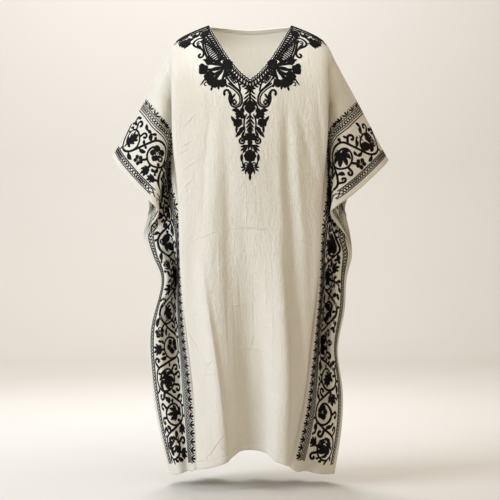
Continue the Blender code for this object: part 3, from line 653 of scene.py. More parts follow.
def cotton_cloth(name, creases, light, shaded, see_through, crinkle, roughness):
    """Crinkled plain weave, on the flat UV in metres. The relief is the narrow creases, crinkles that
    come and go, a finer cockle, slubs along the weft and the weave; the colour drifts between its two
    creams and is paler on the slubs. Part of the light passes through and warms the cloth."""
    material, start = blank_material(name)
    flat = start.node("UVMap", {"uv_map": "flat"})
    down_crinkle = flat.noise((170.0, 46.0, 1.0), 3.0)
    across_crinkle = flat.noise((70.0, 210.0, 1.0), 2.0)
    patches = flat.noise((22.0, 15.0, 1.0), 2.0)
    cockle = flat.noise((430.0, 300.0, 1.0), 2.0)
    slub = flat.noise((60.0, 1500.0, 1.0), 1.0)
    warp = flat.node("TexWave", {"wave_type": "BANDS", "bands_direction": "X"},
                     {"Vector": flat, "Scale": 420.0, "Distortion": 0.6, "Detail": 1.0})
    weft = flat.node("TexWave", {"wave_type": "BANDS", "bands_direction": "Y"},
                     {"Vector": flat, "Scale": 380.0, "Distortion": 0.6, "Detail": 1.0})
    relief = (patches * (down_crinkle * 1.6 + across_crinkle * 0.9) * crinkle
              + cockle * (0.4 * crinkle) + slub * 0.00006 + (warp + weft) * 0.00003
              + pressed_relief(flat, creases))
    normal = flat.node("Bump", {}, {"Strength": 1.0, "Distance": 1.0, "Height": relief})
    drift = flat.noise((9.0, 6.0, 1.0), 3.0)
    colour = (drift * 0.6 + slub * 0.4).blend((*shaded, 1.0), (*light, 1.0))
    weave = flat.node("BsdfPrincipled", {}, {
        "Base Color": colour, "Roughness": slub * 0.06 + roughness, "Normal": normal,
        "Sheen Weight": 0.12, "Sheen Roughness": 0.5, "Specular IOR Level": 0.25})
    passing = flat.node("BsdfTranslucent", {}, {"Color": (*GLOW_CREAM, 1.0), "Normal": normal})
    cloth = flat.node("MixShader", {}, {0: see_through, 1: weave, 2: passing})
    flat.node("OutputMaterial", {}, {"Surface": cloth})
    return material


CREAM = (0.885, 0.860, 0.795)
DEEP_CREAM = (0.83, 0.79, 0.70)
GLOW_CREAM = (0.89, 0.83, 0.71)
PARTS_ACROSS = (20, 80, 4)
PARTS_DOWN = (182, 4)
HEM_STEP = 0.003
STEP_PAST_TURNING = 0.001


def panel_places(panel):
    """Flat places of a panel's grid. Its top row follows the neckline and the shoulders."""
    half = between([0.0, NECK_HALF_WIDTH, EDGE_U - HEM_TURNING, EDGE_U], PARTS_ACROSS)
    u = np.concatenate([-half[:0:-1], half])
    v = between([0.0, HEM_V - HEM_TURNING, HEM_V], PARTS_DOWN)
    start = neck_start(panel, u)
    return np.broadcast_to(u, (len(v), len(u))), start + v[:, None] * (1 - start / HEM_V)


def cut_panel(name, panel, node, material):
    """One panel: its wall stands outside the sewn surface, and is thicker at the turned hems."""
    u, v = panel_places(panel)
    from_edge = np.minimum(EDGE_U - np.abs(u), HEM_V - v)
    turned = np.clip((HEM_TURNING + STEP_PAST_TURNING - from_edge) / HEM_STEP, 0.0, 1.0)
    wall = WALL + (HEM_WALL - WALL) * turned
    roll = np.where(from_edge < HEM_STEP, HEM_WALL / 2, 0.0)
    obj = shell(name, panel, u, v, np.zeros_like(u), wall, roll, material)
    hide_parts(node)


for name, panel, node, creases in (("kaftan_front", FRONT, "front_panel", FRONT_PRESSED),
                                   ("kaftan_back", BACK, "back_panel", BACK_PRESSED)):
    cotton = cotton_cloth(f"crinkled cotton of the {node}", {**HEM_STITCHING, **creases}, CREAM, DEEP_CREAM,
                          see_through=0.26, crinkle=0.0027, roughness=0.86)
    cut_panel(name, panel, node, cotton)

# Neck facing: a bias strip of the same cotton turned inside the neckline and stitched down, in two
# halves that meet at the shoulder seams. Its back half shows inside the back of the neck.

FACING_WIDTH = 0.012
FACING_GAP = 0.0004
FACING_END = 0.006
FACING_WALL = 0.0010
FACING_ROLL = 0.0003
FACING_COLUMNS = 111
FACING_ROWS = 7
BIAS_CREAM = (0.84, 0.80, 0.72)
DEEP_BIAS_CREAM = (0.78, 0.73, 0.63)


def neck_band(name, panel, node, material):
    """Half of the facing: a narrow shell that follows the neckline inside the panel."""
    u = np.linspace(FACING_END - NECK_HALF_WIDTH, NECK_HALF_WIDTH - FACING_END, FACING_COLUMNS)
    down = np.linspace(0.0, FACING_WIDTH, FACING_ROWS)
    start = neck_start(panel, u)
    v = start + down[:, None] * (1 - start / HEM_V)
    u = np.broadcast_to(u, v.shape)
    near, far = np.full_like(v, -FACING_GAP), np.full_like(v, -FACING_GAP - FACING_WALL)
    obj = shell(name, panel, u, v, far, near, np.full_like(v, FACING_ROLL), material)
    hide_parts(node)


bias = cotton_cloth("cream bias strip", {}, BIAS_CREAM, DEEP_BIAS_CREAM,
                    see_through=0.16, crinkle=0.0005, roughness=0.85)
neck_band("neck_facing_front", FRONT, "front_neck_facing", bias)
neck_band("neck_facing_back", BACK, "back_neck_facing", bias)

# Border embroidery: bands of black wool chain stitch along the sleeve ends and down the sides, worked
# through the cotton before it was sewn. A vine with ringed blossoms runs between a twisted band near
# the hem and two lines, a finer twist and a row of buds on the side of the body.

STITCH = 0.0045
FULL = (1.0, 1.0)
ARC_TURN = 24
ARC_STEP = 0.42
LEAF_CROWDING = 0.9
LEAF_ROUNDNESS = 0.7
LEAF_LEAST = 0.16


def run_along(points):
    """Lengths along a flat path, from its first point to each of its points."""
    return np.concatenate([[0.0], np.cumsum(np.hypot(*np.diff(points, axis=0).T))])


def line_of(points, width, ends=(0.5, 0.5), step=STITCH):
    """A row of stitches: a cubic curve through its points by distance, as rows of x, y and half its
    width, which is drawn in at both ends."""
    points = np.asarray(points, dtype=float)
    knots = run_along(points)
    at = np.linspace(0.0, knots[-1], max(3, math.ceil(knots[-1] / step) + 1))
    curve = spline_weights(knots, at) @ points
    half = np.full(len(at), width / 2)
    half[[0, -1]] *= ends
    return np.column_stack([curve, half])


def leaf(at, turn, length, width, bend=0.0, blunt=1.0, count=7):
    """A filled leaf or petal from its foot: half width sin(pi * t ** blunt) ** roundness at a share t
    of its length, but never less than a least share of it, along a spine that bows sideways by bend.
    Turn is its heading from +y towards +x."""
    t = np.linspace(0.0, 1.0, count) ** LEAF_CROWDING
    spine = np.column_stack([4 * bend * length * t * (1 - t), length * t])
    half = width / 2 * np.maximum(np.abs(np.sin(math.pi * t**blunt)) ** LEAF_ROUNDNESS, LEAF_LEAST)
    return placed([np.column_stack([spine, half])], at, turn)[0]


def leaves(*rows):
    """Leaves from rows of foot x and y, heading, length, width and then, where given, bend, bluntness
    and count of points."""
    return [leaf((x, y), *form) for x, y, *form in rows]


def placed(strokes, at=(0.0, 0.0), turn=0.0, size=1.0, flip=1):
    """Strokes moved to a place: scaled, mirrored by a flip of -1, and turned from +y towards +x."""
    cos, sin = math.cos(math.radians(turn)), math.sin(math.radians(turn))
    moved = []
    for stroke in strokes:
        x, y = stroke[:, 0] * flip * size, stroke[:, 1] * size
        turned_x, turned_y = at[0] + x * cos + y * sin, at[1] - x * sin + y * cos
        moved.append(np.column_stack([turned_x, turned_y, stroke[:, 2] * size]))
    return moved


def arc(centre, radius, start, end, width, close=1.0, ends=(0.5, 0.5)):
    """A row of stitches round a centre, between two angles in degrees from +x towards +y, whose
    radius shrinks evenly to close times its first value."""
    count = max(4, math.ceil(abs(end - start) / ARC_TURN))
    angle = np.radians(np.linspace(start, end, count))
    reach = radius * np.linspace(1.0, close, count)
    points = np.column_stack([centre[0] + reach * np.cos(angle), centre[1] + reach * np.sin(angle)])
    return line_of(points, width, ends, min(STITCH, radius * ARC_STEP))


def dot(at, radius):
    """A small knot of thread."""
    return leaf((at[0], at[1] - radius), 0, 2 * radius, 2 * radius, count=4)


def bud(spread=38):
    """Three pointed petals on a short foot."""
    return leaves((0, 0.001, 0, 0.0125, 0.0056, 0.0, 0.9, 5),
                  (0, 0.001, spread, 0.0110, 0.0050, 0.14, 0.9, 5),
                  (0, 0.001, -spread, 0.0110, 0.0050, -0.14, 0.9, 5))


def fan(count, spread, length, width):
    """Leaves side by side from one foot, the middle one longest."""
    return [leaf((0, 0), heading, length * (1 - 0.25 * abs(heading) / spread), width,
                 0.10 * np.sign(heading), 1.2, 6) for heading in np.linspace(-spread, spread, count)]


def daisy():
    """Five round petals about an open eye."""
    petals = [leaf((0.0030 * math.sin(math.radians(heading)), 0.0030 * math.cos(math.radians(heading))),
                   heading, 0.0125, 0.0125, 0.0, 1.1) for heading in range(0, 360, 72)]
    return [*petals, arc((0, 0), 0.0036, 0, 360, 0.0018), dot((0, 0), 0.0014)]


def lily():
    """Petals that curl at their tips over a round cup, and two stamens."""
    curled = ((-108, 0.016, -0.25), (-64, 0.020, -0.2), (-22, 0.022, -0.08), (22, 0.022, 0.08),
              (64, 0.020, 0.2), (108, 0.016, 0.25))
    petals = [leaf((0, 0), heading, length, 0.0095, bend, 1.05) for heading, length, bend in curled]
    stamens = [line_of([(0, 0), (side * 0.003, -0.008), (side * 0.008, -0.013)], 0.0024) for side in (-1, 1)]
    return [*petals, *stamens, dot((0, 0), 0.0060)]


def pansy():
    """Two broad petals over a curled one, with a ringed dot at the throat."""
    throat = (-0.0065, -0.0085)
    return [*leaves((0.001, 0, 24, 0.024, 0.0170, 0.14, 0.95), (-0.001, 0, -34, 0.021, 0.0140, -0.16, 0.95),
                    (0, 0, 100, 0.016, 0.0100, 0.2), (0, 0, 178, 0.012, 0.0090, 0.1)),
            arc(throat, 0.0058, 60, 400, 0.0024), dot(throat, 0.0022),
            leaf((0, -0.001), -98, 0.015, 0.0065, 0.3),
            line_of([(0, 0.016), (-0.002, 0.022), (-0.007, 0.026)], 0.0024)]


def thistle():
    """A closed flower with toothed sides."""
    teeth = [leaf((0, y), side * turn, 0.0135, 0.0066, side * 0.1, 1.0, 5)
             for y, turn in ((-0.005, 78), (0.002, 62), (0.008, 44)) for side in (-1, 1)]
    return [leaf((0, -0.010), 0, 0.031, 0.0165, 0.0, 0.95), *teeth, leaf((0, -0.008), 170, 0.009, 0.0045)]


def tulip():
    """A cup of three petals with two that turn outwards, on a small calyx."""
    cup = [leaf((0, 0), heading, 0.024, 0.0110, 0.004 * heading, 0.95) for heading in (-24, 0, 24)]
    return [*cup, *leaves((0, 0, 58, 0.021, 0.0075, 0.3), (0, 0, -58, 0.021, 0.0075, -0.3),
                          (0, -0.002, 112, 0.012, 0.0056, 0.2), (0, -0.002, -112, 0.012, 0.0056, -0.2)),
            dot((0, -0.002), 0.0046)]


def spray():
    """An open flower from the side: a ring of five fingers over a round cup."""
    return [*fan(5, 68, 0.022, 0.0078),
            *leaves((0, -0.008, 0, 0.015, 0.0150, 0.0, 1.0, 5), (0, -0.004, 130, 0.013, 0.0056, 0.3, 1.0, 5),
                    (0, -0.004, -130, 0.013, 0.0056, -0.3, 1.0, 5))]


BLOSSOMS = {"daisy": daisy(), "lily": lily(), "pansy": pansy(), "thistle": thistle(), "tulip": tulip(),
            "spray": spray()}

# A border in its own measures: p along it from the shoulder seam and q in from its hem. The field
# between the two bands holds the vine, in cells of one ring each; a pair of values is a range.
BORDER_WIDTH = 0.18
FIELD_MIDDLE = 0.0862
FIELD_EDGES = (0.0316, 0.1412)
CELL = 0.084
RING = 0.0355
RING_ASIDE = -0.0100
RING_DRIFT = 0.004
ASIDE_DRIFT = 0.003
STEM = 0.0064
STEM_ANGLES = np.array([200, 228, 254, 286, 312, 340])
STEM_START_RISE = 0.016
STEM_END_RISE = 0.010
BRANCH_START = -22
BRANCH_END = (250, 330)
BRANCH_CLOSE = (0.38, 0.46)
BLOSSOM_PLACE = (0.001, -0.005)
BLOSSOM_TURN = (-25, 50)
BLOSSOM_SIZE = (1.36, 1.52)
TWIG = 0.0056
TWIG_LEAN = (34, 88)
TWIG_SIZE = (1.0, 1.30)
FIRST_FOOT = (0.2, 1.0)
LOOK_AHEAD = 0.002
STALK_BOW = 0.0008
FLOWER_SEAT = 0.006
VINE_FULLNESS = 1.14

# What is still free of the ground is kept in squares, and the places under stitches on a finer grid.
SQUARE = 0.001
SPARE_GRID = 0.0007
PLACES_ALONG = 5
PLACES_ACROSS = 9
BESIDE_VINE = 0.0004
BESIDE_TWIG = 0.0009
UNDER_TWIG = 0.0002
FOOT_ROOM = 0.0050


def vine(length, blossoms, rng):
    """The winding vine along +x: its stem passes below every even ring and above every odd one, and a
    branch closes each ring and carries a blossom. The stems come first, then the blossoms."""
    cells = int(length / CELL)
    cell = length / cells
    main, stems, heads = [(0.0, FIELD_MIDDLE + STEM_START_RISE)], [], []
    for k in range(cells):
        side = 1 if k % 2 == 0 else -1
        centre = np.array([(k + 0.5) * cell + rng.uniform(-RING_DRIFT, RING_DRIFT),
                           FIELD_MIDDLE + side * (RING_ASIDE + rng.uniform(-ASIDE_DRIFT, ASIDE_DRIFT))])
        low = np.radians(STEM_ANGLES) * side
        main += list(centre + RING * np.column_stack([np.cos(low), np.sin(low)]))
        end, close = rng.uniform(*BRANCH_END), rng.uniform(*BRANCH_CLOSE)
        ring = [arc((0, 0), RING, BRANCH_START, end, TWIG, close, FULL)]
        turn, size = rng.uniform(*BLOSSOM_TURN), rng.uniform(*BLOSSOM_SIZE)
        head = placed(BLOSSOMS[blossoms[k % len(blossoms)]], BLOSSOM_PLACE, turn, size)
        for strokes, group in ((ring, stems), (head, heads)):
            group += [np.column_stack([s[:, :2] * (1.0, side) + centre, s[:, 2]]) for s in strokes]
    main.append((length, main[-1][1] + STEM_END_RISE))
    return [line_of(main, STEM), *stems], heads


def places_under(strokes, spare):
    """Places under rows of stitches with some spare room beside them, so many to a step and across."""
    under = []
    for stroke in strokes:
        t = np.linspace(0, len(stroke) - 1, PLACES_ALONG * len(stroke))
        k = np.minimum(t.astype(int), len(stroke) - 2)
        row = stroke[k] + (stroke[k + 1] - stroke[k]) * (t - k)[:, None]
        along = stroke[k + 1, :2] - stroke[k, :2]
        aside = np.column_stack([-along[:, 1], along[:, 0]]) / np.maximum(np.hypot(*along.T), 1e-6)[:, None]
        reach = np.linspace(-1, 1, PLACES_ACROSS) * (row[:, 2:] + spare)
        under.append((row[:, None, :2] + aside[:, None] * reach[..., None]).reshape(-1, 2))
    return np.unique(np.round(np.concatenate(under) / SPARE_GRID), axis=0) * SPARE_GRID


def squares(places, ground):
    """The ground's millimetre squares that hold these places."""
    return tuple(np.clip(np.floor(places[:, :2] / SQUARE).astype(int), 0, np.array(ground.shape) - 1).T)


def feet_along(stems, gap, rng):
    """Feet for twigs on both sides of the stems, a gap apart: x, y, heading and side."""
    feet = []
    for stem in stems:
        run = run_along(stem[:, :2])
        at = np.arange(rng.uniform(*FIRST_FOOT) * gap, run[-1], gap)
        x, y = (np.interp(at, run, stem[:, axis]) for axis in (0, 1))
        ahead_x, ahead_y = (np.interp(at + LOOK_AHEAD, run, stem[:, axis]) for axis in (0, 1))
        heading = np.degrees(np.arctan2(ahead_x - x, ahead_y - y))
        feet += [(*foot, side) for foot in zip(x, y, heading) for side in (-1, 1)]
    return feet


def grown(stems, ground, kinds, gap, rng):
    """Twigs that lean forwards along the stems: at each foot one of the kinds is worked, if the ground
    under it and a little beside it is still free. Also gives each twig's own stem."""
    strokes, stalks = [], []
    feet = feet_along(stems, gap, rng)
    for k in rng.permutation(len(feet)):
        x, y, heading, side = feet[k]
        for kind in rng.permutation(kinds):
            place = ((x, y), heading + side * rng.uniform(*TWIG_LEAN), rng.uniform(*TWIG_SIZE), side)
            room = placed([WIDE_ROOM[kind]], *place)[0]
            if not ground[squares(room, ground)].any():
                ground[squares(placed([NEAR_ROOM[kind]], *place)[0], ground)] = True
                twig = placed(TWIGS[kind], *place)
                strokes += twig
                stalks.append(twig[0])
                break
    return strokes, stalks


def twist(length, middle, reach, period, width):
    """Two waves that cross each other along a band."""
    x = np.arange(0.0, length, period / TWIST_POINTS)
    wave = reach * np.sin(2 * math.pi * x / period)
    return [np.column_stack([x, middle + side * wave, np.full_like(x, width / 2)]) for side in (-1, 1)]


def straight(length, y, width):
    """A row along the whole border."""
    x = np.linspace(0.0, length, int(length / STRAIGHT_STEP) + 1)
    return np.column_stack([x, np.full_like(x, y), np.full_like(x, width / 2)])


def stalk(*points):
    """A twig's own stem through its points, its ends as wide as its middle."""
    return line_of(points, TWIG, FULL)


def on_stalk(strokes, length, size):
    """A small flower at the end of a stalk."""
    return [stalk((0, 0), (STALK_BOW, length / 2), (0, length)),
            *placed(strokes, (0, length + FLOWER_SEAT * size), 0, size)]


TWIGS = {
    "tall tulip": on_stalk(tulip(), 0.012, 0.72),
    "tall daisy": on_stalk(daisy(), 0.018, 0.80),
    "tall lily": on_stalk(lily(), 0.012, 0.70),
    "scroll": [stalk((0, 0), (-0.001, 0.006), (0, 0.012)),
               arc((0.0096, 0.012), 0.0096, 180, -320, TWIG, 0.22, (1.0, 0.8))],
    "hook": [stalk((0, 0), (0.0005, 0.007), (0, 0.013)),
             arc((0.0070, 0.013), 0.0070, 180, -60, TWIG, 0.7, FULL), dot((0.0090, 0.0100), 0.0030)],
    "leafy": [stalk((0, 0), (0.001, 0.010), (0.006, 0.021), (0.013, 0.027)),
              *leaves((0.0125, 0.0265, 58, 0.0170, 0.0096, 0.15, 1.25),
                      (0.001, 0.008, -44, 0.0160, 0.0090, -0.15, 1.25),
                      (0.006, 0.019, -16, 0.0170, 0.0094, -0.15, 1.25),
                      (0.003, 0.013, 84, 0.0140, 0.0086, 0.15, 1.25))],
    "forked": [stalk((0, 0), (0, 0.010)), *leaves((0, 0.008, -32, 0.0170, 0.0086, -0.12, 1.25),
                                                  (0, 0.008, 32, 0.0170, 0.0086, 0.12, 1.25))],
    "flower": [stalk((0, 0), (0, 0.008)), *placed(fan(5, 80, 0.0165, 0.0086), (0, 0.007)),
               dot((0, 0.007), 0.0042)],
    "curl": [stalk((0, 0), (0, 0.005)), arc((0.0060, 0.005), 0.0060, 180, -230, TWIG, 0.35, (1.0, 0.8))],
    "club": [leaf((0, 0), 0, 0.0200, 0.0098, 0.18, 1.3)],
    "blade": [leaf((0, 0), 0, 0.0155, 0.0084, -0.15, 1.3)],
    "short": [leaf((0, 0), 0, 0.0112, 0.0070, 0.1, 1.3, 5)],
}

# The rounds in which the ground is filled: the kinds of twig that are tried, and their feet's gap.
ROUNDS = ((("tall tulip", "tall daisy", "tall lily"), 0.020), (("scroll", "leafy", "flower", "hook"), 0.008),
          (("forked", "leafy", "curl", "hook"), 0.006), (("forked", "curl", "club"), 0.005),
          (("club", "blade"), 0.004), (("blade", "short"), 0.004), (("short",), 0.003))

# The rows beside the field: q and width of the straight ones; middle, reach, period and width of the
# twisted ones; and the buds' step along, their size and the dots between them.
STRAIGHT_ROWS = ((0.0140, 0.0034), (0.0304, 0.0034), (0.1434, 0.0032), (0.1494, 0.0030), (0.1664, 0.0030))
STRAIGHT_STEP = 0.008
TWIST_POINTS = 6
TWISTS = ((0.0222, 0.0056, 0.0176, 0.0036), (0.1579, 0.0052, 0.0160, 0.0034))
BUD_STEP = 0.0220
BUD_Q = 0.1676
BUD_SPREAD = 42
BUD_SIZE = 1.28
DOT_Q = 0.1708
DOT_RADIUS = 0.0020


def room_of(twig, spare, from_foot):
    """The room that a twig takes with some spare beside it, from a distance off its foot, as rows of
    x, y and nothing."""
    room = places_under(twig, spare)
    room = room[np.hypot(*room.T) > from_foot]
    return np.column_stack([room, np.zeros(len(room))])


WIDE_ROOM = {kind: room_of(twig, BESIDE_TWIG, FOOT_ROOM) for kind, twig in TWIGS.items()}
NEAR_ROOM = {kind: room_of(twig, UNDER_TWIG, 0.0) for kind, twig in TWIGS.items()}


def border_pattern(length, blossoms, seed):
    """All rows of one border, p along +x and q along +y. The vine is worked first, and its twigs then
    fill the ground, the large kinds before the small ones."""
    rng = np.random.default_rng(seed)
    stems, heads = vine(length, blossoms, rng)
    ground = np.ones((int(length / SQUARE) + 1, int(BORDER_WIDTH / SQUARE)), dtype=bool)
    inner, outer = (int(edge / SQUARE) for edge in FIELD_EDGES)
    ground[2:-2, inner:outer] = False
    ground[squares(places_under([*stems, *heads], BESIDE_VINE), ground)] = True
    strokes, branches = [*stems, *heads], stems
    for kinds, gap in ROUNDS:
        twigs, stalks = grown(branches, ground, kinds, gap, rng)
        strokes += twigs
        branches = branches + stalks
    strokes = [s * (1.0, 1.0, VINE_FULLNESS) for s in strokes]
    strokes += [straight(length, *row) for row in STRAIGHT_ROWS]
    for row in TWISTS:
        strokes += twist(length, *row)
    for x in np.arange(BUD_STEP / 2, length, BUD_STEP):
        strokes += placed(bud(BUD_SPREAD), (x, BUD_Q), size=BUD_SIZE)
        strokes.append(dot((x + BUD_STEP / 2, DOT_Q), DOT_RADIUS))
    return strokes


# A row of stitches in section: how far across the row each point lies, and its height there.
ROUND_ROW = ((-1.0, 0.0), (-0.55, 1.0), (0.55, 1.0), (1.0, 0.0))
THREAD_HIGH = 0.00075
THREAD_SUNK = -0.00025
HEIGHT_SPREAD = 0.3
HEIGHT_STEPS = 7


def stitched(name, panel, strokes, to_flat, material, outside=True):
    """Raised thread along strokes on a panel. Each row's places are turned into flat ones, its width
    is laid off along the cloth at right angles to it, through the cloth's two slopes, and its
    section stands on the wall, or hangs inside it, so every point is measured from the cloth's own
    surface. Rows differ a little in height, by steps."""
    sizes = np.array([len(s) for s in strokes])
    rows = np.concatenate(strokes)
    first = np.concatenate([[0], np.cumsum(sizes)[:-1]])
    last = first + sizes - 1
    u, v = to_flat(rows[:, 0], rows[:, 1])
    centre, normal, slope_u, slope_v = cloth_at(panel, u, v)
    before, after = np.arange(len(rows)) - 1, np.arange(len(rows)) + 1
    before[first], after[last] = first, last
    along = centre[after] - centre[before]
    side = np.cross(normal, along)
    side /= np.maximum(np.linalg.norm(side, axis=1, keepdims=True), 1e-9)
    uu, uv, vv = ((a * b).sum(axis=1)
                  for a, b in ((slope_u, slope_u), (slope_u, slope_v), (slope_v, slope_v)))
    side_u, side_v = (side * slope_u).sum(axis=1), (side * slope_v).sum(axis=1)
    whole = uu * vv - uv * uv
    step_u, step_v = (side_u * vv - side_v * uv) / whole, (side_v * uu - side_u * uv) / whole
    step = np.repeat(np.arange(len(strokes)), sizes) % HEIGHT_STEPS
    high = THREAD_HIGH * (1 - HEIGHT_SPREAD / 2 + HEIGHT_SPREAD * step / HEIGHT_STEPS)
    points = []
    for share, lift in ROUND_ROW:
        reach = share * rows[:, 2]
        at_u, at_v = np.clip(u + reach * step_u, -EDGE_U, EDGE_U), np.clip(v + reach * step_v, 0.0, HEM_V)
        point, out = cloth_at(panel, at_u, at_v)[:2]
        height = THREAD_SUNK + lift * (high - THREAD_SUNK)
        height = WALL + height if outside else -height
        points.append(point + out * np.broadcast_to(height, len(rows))[:, None])
    width = len(ROUND_ROW)
    index = np.arange(len(rows))[:, None] * width + np.arange(width)
    starts = np.setdiff1d(np.arange(len(rows)), last)
    here, there = index[starts], index[starts + 1]
    quads = np.stack([here, np.roll(here, -1, axis=1), np.roll(there, -1, axis=1), there], axis=-1)
    caps = np.concatenate([index[first][:, ::-1], index[last]])
    faces = np.concatenate([quads.reshape(-1, 4), caps])
    if outside == (panel is BACK):
        faces = faces[:, ::-1]
    gone = np.concatenate([[0.0], np.cumsum(np.linalg.norm(np.diff(centre, axis=0), axis=1))])
    across = np.array([s for s, _ in ROUND_ROW])
    uv_places = np.stack(np.broadcast_arrays(gone[:, None], rows[:, 2:] * across), axis=-1).reshape(-1, 2)
    obj = mesh_object(name, np.stack(points, axis=1).reshape(-1, 3), faces, uv_places, material)


BORDER_MIDDLE_U = 0.48
BAND = 0.035
NET_STEP = 0.004
NET_LINES = 46
MIDDLE_POINTS = 800
SEAM_REACH = 0.06


def border_net(panel, side):
    """A net over one side border: p along its middle by length on the cloth, and q in from the hem.
    From each p, a line leaves the middle at right angles to the warp, dv/du = -(Pu . Pv) / (Pv . Pv),
    and q is the length along it, true in the bands at both edges. Near the shoulder seam the lines
    turn to run along it."""
    fine = np.linspace(0.0, HEM_V, MIDDLE_POINTS)
    middle = cloth_at(panel, np.full_like(fine, side * BORDER_MIDDLE_U), fine)[0]
    length = np.concatenate([[0.0], np.cumsum(np.linalg.norm(np.diff(middle, axis=0), axis=1))])
    p = np.arange(0.0, length[-1], NET_STEP)
    middle_v = np.interp(p, length, fine)
    free = np.clip(middle_v / SEAM_REACH, 0.0, 1.0)
    lines = []
    for end in (EDGE_U, EDGE_U - BORDER_WIDTH):
        u = np.linspace(BORDER_MIDDLE_U, end, NET_LINES)
        v, places = middle_v.copy(), [middle_v]
        for a, b in zip(u, u[1:]):
            _, _, slope_u, slope_v = cloth_at(panel, np.full_like(v, side * a), v)
            tilt = -(slope_u * slope_v).sum(axis=1) / (slope_v**2).sum(axis=1)
            v = np.clip(v + side * (b - a) * np.clip(tilt, -1.0, 1.0) * free, 0.0, HEM_V)
            places.append(v)
        lines.append((u, np.array(places)))
    u = np.concatenate([lines[0][0][::-1], lines[1][0][1:]])
    v = np.maximum.accumulate(np.concatenate([lines[0][1][::-1], lines[1][1][1:]]), axis=1)
    points = cloth_at(panel, *np.broadcast_arrays(side * u[:, None], v))[0]
    run = np.concatenate([np.zeros((1, len(p))),
                          np.cumsum(np.linalg.norm(np.diff(points, axis=0), axis=2), axis=0)])
    q = np.linspace(0.0, BORDER_WIDTH, NET_LINES)
    width = run[-1][:, None]
    field = BAND + (q - BAND) * (width - 2 * BAND) / (BORDER_WIDTH - 2 * BAND)
    true = np.where(q < BAND, q, np.where(q > BORDER_WIDTH - BAND, width - BORDER_WIDTH + q, field))
    net_u = np.array([np.interp(true[k], run[:, k], u) for k in range(len(p))])
    net_v = np.array([np.interp(true[k], run[:, k], v[:, k]) for k in range(len(p))])
    return {"places": np.stack([side * net_u, net_v], axis=-1), "length": p[-1], "q_step": q[1]}


def on_net(net):
    """A function that turns a border's p and q into flat places."""

    def to_flat(p, q):
        found = mixed(net["places"], p / NET_STEP, q / net["q_step"])
        return found[..., 0], found[..., 1]

    return to_flat


NAP_PALER = 1.9


def thread_finish(name, tone):
    """Wool chain stitch, on a UV along and across each row in metres: links that bulge in the middle,
    plies that run slantwise, and a slightly paler nap."""
    material, start = blank_material(name)
    row = start.node("UVMap", {"uv_map": "flat"})
    links = row.node("TexWave", {"wave_type": "BANDS", "bands_direction": "X"},
                     {"Vector": row, "Scale": 61.0, "Distortion": 1.5, "Detail": 1.0, "Detail Scale": 300.0})
    plies = row.node("TexWave", {"wave_type": "BANDS", "bands_direction": "DIAGONAL"},
                     {"Vector": row, "Scale": 260.0, "Distortion": 2.0, "Detail": 1.0})
    nap = row.noise((900.0, 900.0, 1.0), 2.0)
    relief = links * 0.00030 + plies * 0.00010 + nap * 0.00008
    normal = row.node("Bump", {}, {"Strength": 1.0, "Distance": 1.0, "Height": relief})
    colour = nap.blend((*tone, 1.0), (*(NAP_PALER * t for t in tone), 1.0))
    wool = row.node("BsdfPrincipled", {}, {
        "Base Color": colour, "Roughness": nap * 0.2 + 0.70, "Normal": normal,
        "Specular IOR Level": 0.12})
    row.node("OutputMaterial", {}, {"Surface": wool})
    return material


BLACK = (0.0042, 0.0038, 0.0037)
PALER_BLACK = (0.020, 0.018, 0.017)
END_ABOVE_HEM = 0.022
REVERSE_SHOWN = (0.17, 0.50)
REVERSE_WIDTH = 0.34
BLOSSOM_ORDER = ("pansy", "lily", "thistle", "daisy", "tulip", "spray")


def reverse_of(strokes):
    """The thin rows that the stitches leave on the cloth's inside, where the sleeve opening shows it."""
    inside = [s[(s[:, 0] > REVERSE_SHOWN[0]) & (s[:, 0] < REVERSE_SHOWN[1])] for s in strokes]
    return [s * (1.0, 1.0, REVERSE_WIDTH) for s in inside if len(s) > 1]


wool = thread_finish("black wool thread", BLACK)
thin_wool = thread_finish("reverse of the black wool", PALER_BLACK)
for name, panel, side, turn in (("border_front_right", FRONT, 1, 0), ("border_front_left", FRONT, -1, 2),
                                ("border_back_right", BACK, 1, 4), ("border_back_left", BACK, -1, 1)):
    net = border_net(panel, side)
    order = BLOSSOM_ORDER[turn:] + BLOSSOM_ORDER[:turn]
    pattern = border_pattern(net["length"] - END_ABOVE_HEM, order, turn)
    stitched(name, panel, pattern, on_net(net), wool)
    stitched(f"{name}_reverse", panel, reverse_of(pattern), on_net(net), thin_wool, outside=False)

# Yoke embroidery: the same black wool round the V neck and out along the shoulders, and a column that
# tapers to a point below the V. The right half is drawn here in flat x across and y up from the
# shoulder seam, and the left half mirrors it.

V_EDGE_U = np.linspace(0.0, NECK_HALF_WIDTH, 23)
v_edge = np.column_stack([V_EDGE_U, -neck_start(FRONT, V_EDGE_U)])
v_along = run_along(v_edge)
v_turn = np.arctan2(*np.gradient(v_edge, axis=0).T)
V_LENGTH = v_along[-1]
MITRE = 1 / math.tan(v_turn[0])
KNOT_REACH = 0.076
YOKE_FULLNESS = 1.18
SCALLOP = {"inside": 0.0023, "reach": 0.0009, "period": 0.0085, "width": 0.0029}
FEATHER_INSIDE = 0.0205
SLANT_STEP = 0.0064
ROW_INSIDE = 0.0104


def on_v(reach, inside):
    """Places at distances up the neckline from the point of the V, and in from its edge at right
    angles to it. Below the point they run on in line, and at a reach of -MITRE times inside they meet
    the other half's."""
    reach = np.asarray(reach, dtype=float)
    turn = np.interp(reach, v_along, v_turn)
    past = np.minimum(reach, 0.0)
    x = np.interp(reach, v_along, v_edge[:, 0]) + past * np.sin(turn) + inside * np.cos(turn)
    y = np.interp(reach, v_along, v_edge[:, 1]) + past * np.cos(turn) - inside * np.sin(turn)
    return np.column_stack([x, y])


def plain(points, width):
    """A row of stitches straight from point to point."""
    points = np.asarray(points)
    return np.column_stack([points, np.full(len(points), width / 2)])


